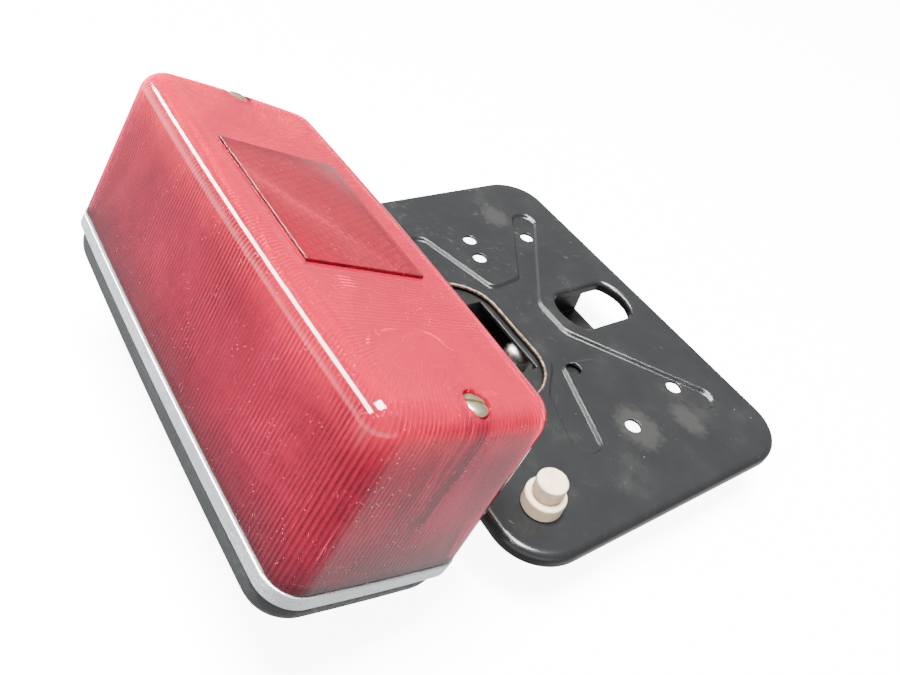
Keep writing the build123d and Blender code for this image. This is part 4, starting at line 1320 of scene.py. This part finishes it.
# ---------------------------------------------------------------- studio
@dataclass(frozen=True)
class Studio:
    """A pale floor, a soft sky that is brightest at the horizon, one long soft light and the camera."""

    eye: Point = (0.16334, -0.17875, 0.23687)
    heading: float = -45.41
    dip: float = -41.60
    roll: float = 17.33
    lens_mm: float = 31.35
    floor_size: float = 16.0
    floor_z: float = -0.0002
    floor_glow: float = 9.0
    strip_size: tuple[float, float] = (2.6, 0.30)
    strip_power: float = 280.0
    strip_place: Point = (-1.15, -0.90, 1.10)
    strip_aim: Point = (-1.15, -0.02, 0.05)
    overhead_size: tuple[float, float] = (0.7, 0.7)
    overhead_power: float = 240.0
    overhead_place: Point = (-0.05, -0.20, 1.80)
    overhead_aim: Point = (0.0, -0.05, 0.05)
    sky_strength: float = 5.0
    sky_blend: float = 0.35
    outer_sky: tuple[tuple[float, float], ...] = (
        (0.0, 0.10), (0.44, 0.14), (0.49, 0.75), (0.53, 0.85), (0.635, 0.25), (0.78, 0.16), (1.0, 0.16))
    inner_sky: tuple[tuple[float, float], ...] = (
        (0.0, 0.25), (0.30, 0.22), (0.46, 0.08), (0.50, 0.09), (0.55, 0.10), (0.62, 0.17), (0.72, 0.12),
        (0.83, 0.18), (1.0, 0.18))

    def camera(self) -> None:
        """Place the camera and make it the scene's own."""
        data = bpy.data.cameras.new("camera")
        data.lens = self.lens_mm
        data.clip_start = 0.01
        camera = bpy.data.objects.new("camera", data)
        heading, dip = math.radians(self.heading), math.radians(self.dip)
        ahead = Vector((math.sin(heading) * math.cos(dip), math.cos(heading) * math.cos(dip), math.sin(dip)))
        level = ahead.cross(Vector((0, 0, 1))).normalized()
        upright = level.cross(ahead)
        roll = math.radians(self.roll)
        right = level * math.cos(roll) + upright * math.sin(roll)
        turn = Matrix((right, right.cross(-ahead) * -1, -ahead)).transposed()
        camera.matrix_world = Matrix.Translation(Vector(self.eye)) @ turn.to_4x4()
        bpy.context.scene.collection.objects.link(camera)
        bpy.context.scene.camera = camera

    def sky(self) -> None:
        """Make the world: a bright band at the horizon, brighter on the lamp's outer side than beyond it."""
        world = bpy.data.worlds.new("studio_sky")
        bpy.context.scene.world = world
        world.use_nodes = True
        tree = world.node_tree
        tree.nodes.clear()
        way = tree.nodes.new("ShaderNodeSeparateXYZ")
        tree.links.new(tree.nodes.new("ShaderNodeTexCoord").outputs["Generated"], way.inputs["Vector"])
        height = self.spread(tree, way.outputs["Z"], -1.0, 1.0)
        sides = tree.nodes.new("ShaderNodeMix")
        sides.data_type = "RGBA"
        across, *levels = MIX_COLOUR_INPUTS
        blend = self.spread(tree, way.outputs["Y"], -self.sky_blend, self.sky_blend)
        tree.links.new(blend, sides.inputs[across])
        for socket, stops in zip(levels, (self.outer_sky, self.inner_sky)):
            ramp = tree.nodes.new("ShaderNodeValToRGB")
            for index, (where, level) in enumerate(stops):
                stop = ramp.color_ramp.elements[index] if index < 2 else ramp.color_ramp.elements.new(where)
                stop.position = where
                stop.color = (level, level, level, 1)
            tree.links.new(height, ramp.inputs["Fac"])
            tree.links.new(ramp.outputs["Color"], sides.inputs[socket])
        glow = tree.nodes.new("ShaderNodeBackground")
        glow.inputs["Strength"].default_value = self.sky_strength
        tree.links.new(sides.outputs[MIX_COLOUR_OUTPUT], glow.inputs["Color"])
        tree.links.new(glow.outputs["Background"], tree.nodes.new("ShaderNodeOutputWorld").inputs["Surface"])

    @staticmethod
    def spread(tree: bpy.types.NodeTree, value: Socket, low: float, high: float) -> Socket:
        """Bring a value's range to 0 and 1."""
        node = tree.nodes.new("ShaderNodeMapRange")
        node.inputs["From Min"].default_value = low
        node.inputs["From Max"].default_value = high
        tree.links.new(value, node.inputs["Value"])
        return node.outputs["Result"]

    def light(self, name: str, size: tuple[float, float], power: float, place: Point,
              aim: Point) -> bpy.types.Object:
        """Hang a soft rectangular light.

        Args:
            name: Its name.
            size: Its length along X and its width.
            power: Its power in watts.
            place: Where its middle is.
            aim: The point that it faces.

        Returns:
            The light.
        """
        data = bpy.data.lights.new(name, "AREA")
        data.shape = "RECTANGLE"
        data.size, data.size_y = size
        data.energy = power
        light = bpy.data.objects.new(name, data)
        back = (Vector(place) - Vector(aim)).normalized()
        side = Vector((1, 0, 0))
        upright = back.cross(side).normalized()
        turn = Matrix((upright.cross(back), upright, back)).transposed()
        light.matrix_world = Matrix.Translation(Vector(place)) @ turn.to_4x4()
        bpy.context.scene.collection.objects.link(light)
        return light

    def lights(self) -> None:
        """Hang the long light beside the lamp and the broad one above it."""
        strip = self.light("strip", self.strip_size, self.strip_power, self.strip_place, self.strip_aim)
        strip.visible_diffuse = False
        self.light("overhead", self.overhead_size, self.overhead_power, self.overhead_place,
                   self.overhead_aim)

    def floor(self) -> None:
        """Lay the pale floor just under the object."""
        half = self.floor_size / 2
        mesh = bpy.data.meshes.new("floor")
        corners = ((-half, -half), (half, -half), (half, half), (-half, half))
        mesh.from_pydata([(x, y, self.floor_z) for x, y in corners], [], [(0, 1, 2, 3)])
        shade = Shade("pale_floor")
        paper = shade.noise(300.0, 3.0)
        shade.surface(Base_Color=shade.mix(paper, (0.90, 0.90, 0.90), (0.93, 0.93, 0.93)), Roughness=0.9,
                      Emission_Color=(1.0, 1.0, 1.0), Emission_Strength=self.floor_glow)
        mesh.materials.append(shade.material)
        piece = bpy.data.objects.new("floor", mesh)
        bpy.context.scene.collection.objects.link(piece)
        piece.visible_glossy = False
        piece.visible_diffuse = False

    def build(self) -> None:
        """Set up the whole studio."""
        self.camera()
        self.sky()
        self.lights()
        self.floor()


def main() -> None:
    """Build every piece in order."""
    logging.basicConfig(level=logging.INFO, format="%(name)s: %(message)s")
    finishes = Finishes()
    finishes.dress_cad()
    lamp = LampFrame.read()
    lens = LensSizes()
    Lens(lens, lamp, finishes).build()
    Reflex(lens, lamp, finishes).build()
    screw = LensScrew(ScrewSizes(), lamp, finishes)
    screw.build("near_screw_detail", lens.screw_x, 72.0, Body.NEAR_SCREW, "near_lens_screw")
    screw.build("far_screw_detail", -lens.screw_x, 40.0, Body.FAR_SCREW, "far_lens_screw")
    Filaments(FilamentSizes(), lamp, finishes).build()
    ContactSpring(SpringSizes(), lamp, finishes).build()
    Studio().build()


if __name__ == "__main__":
    main()
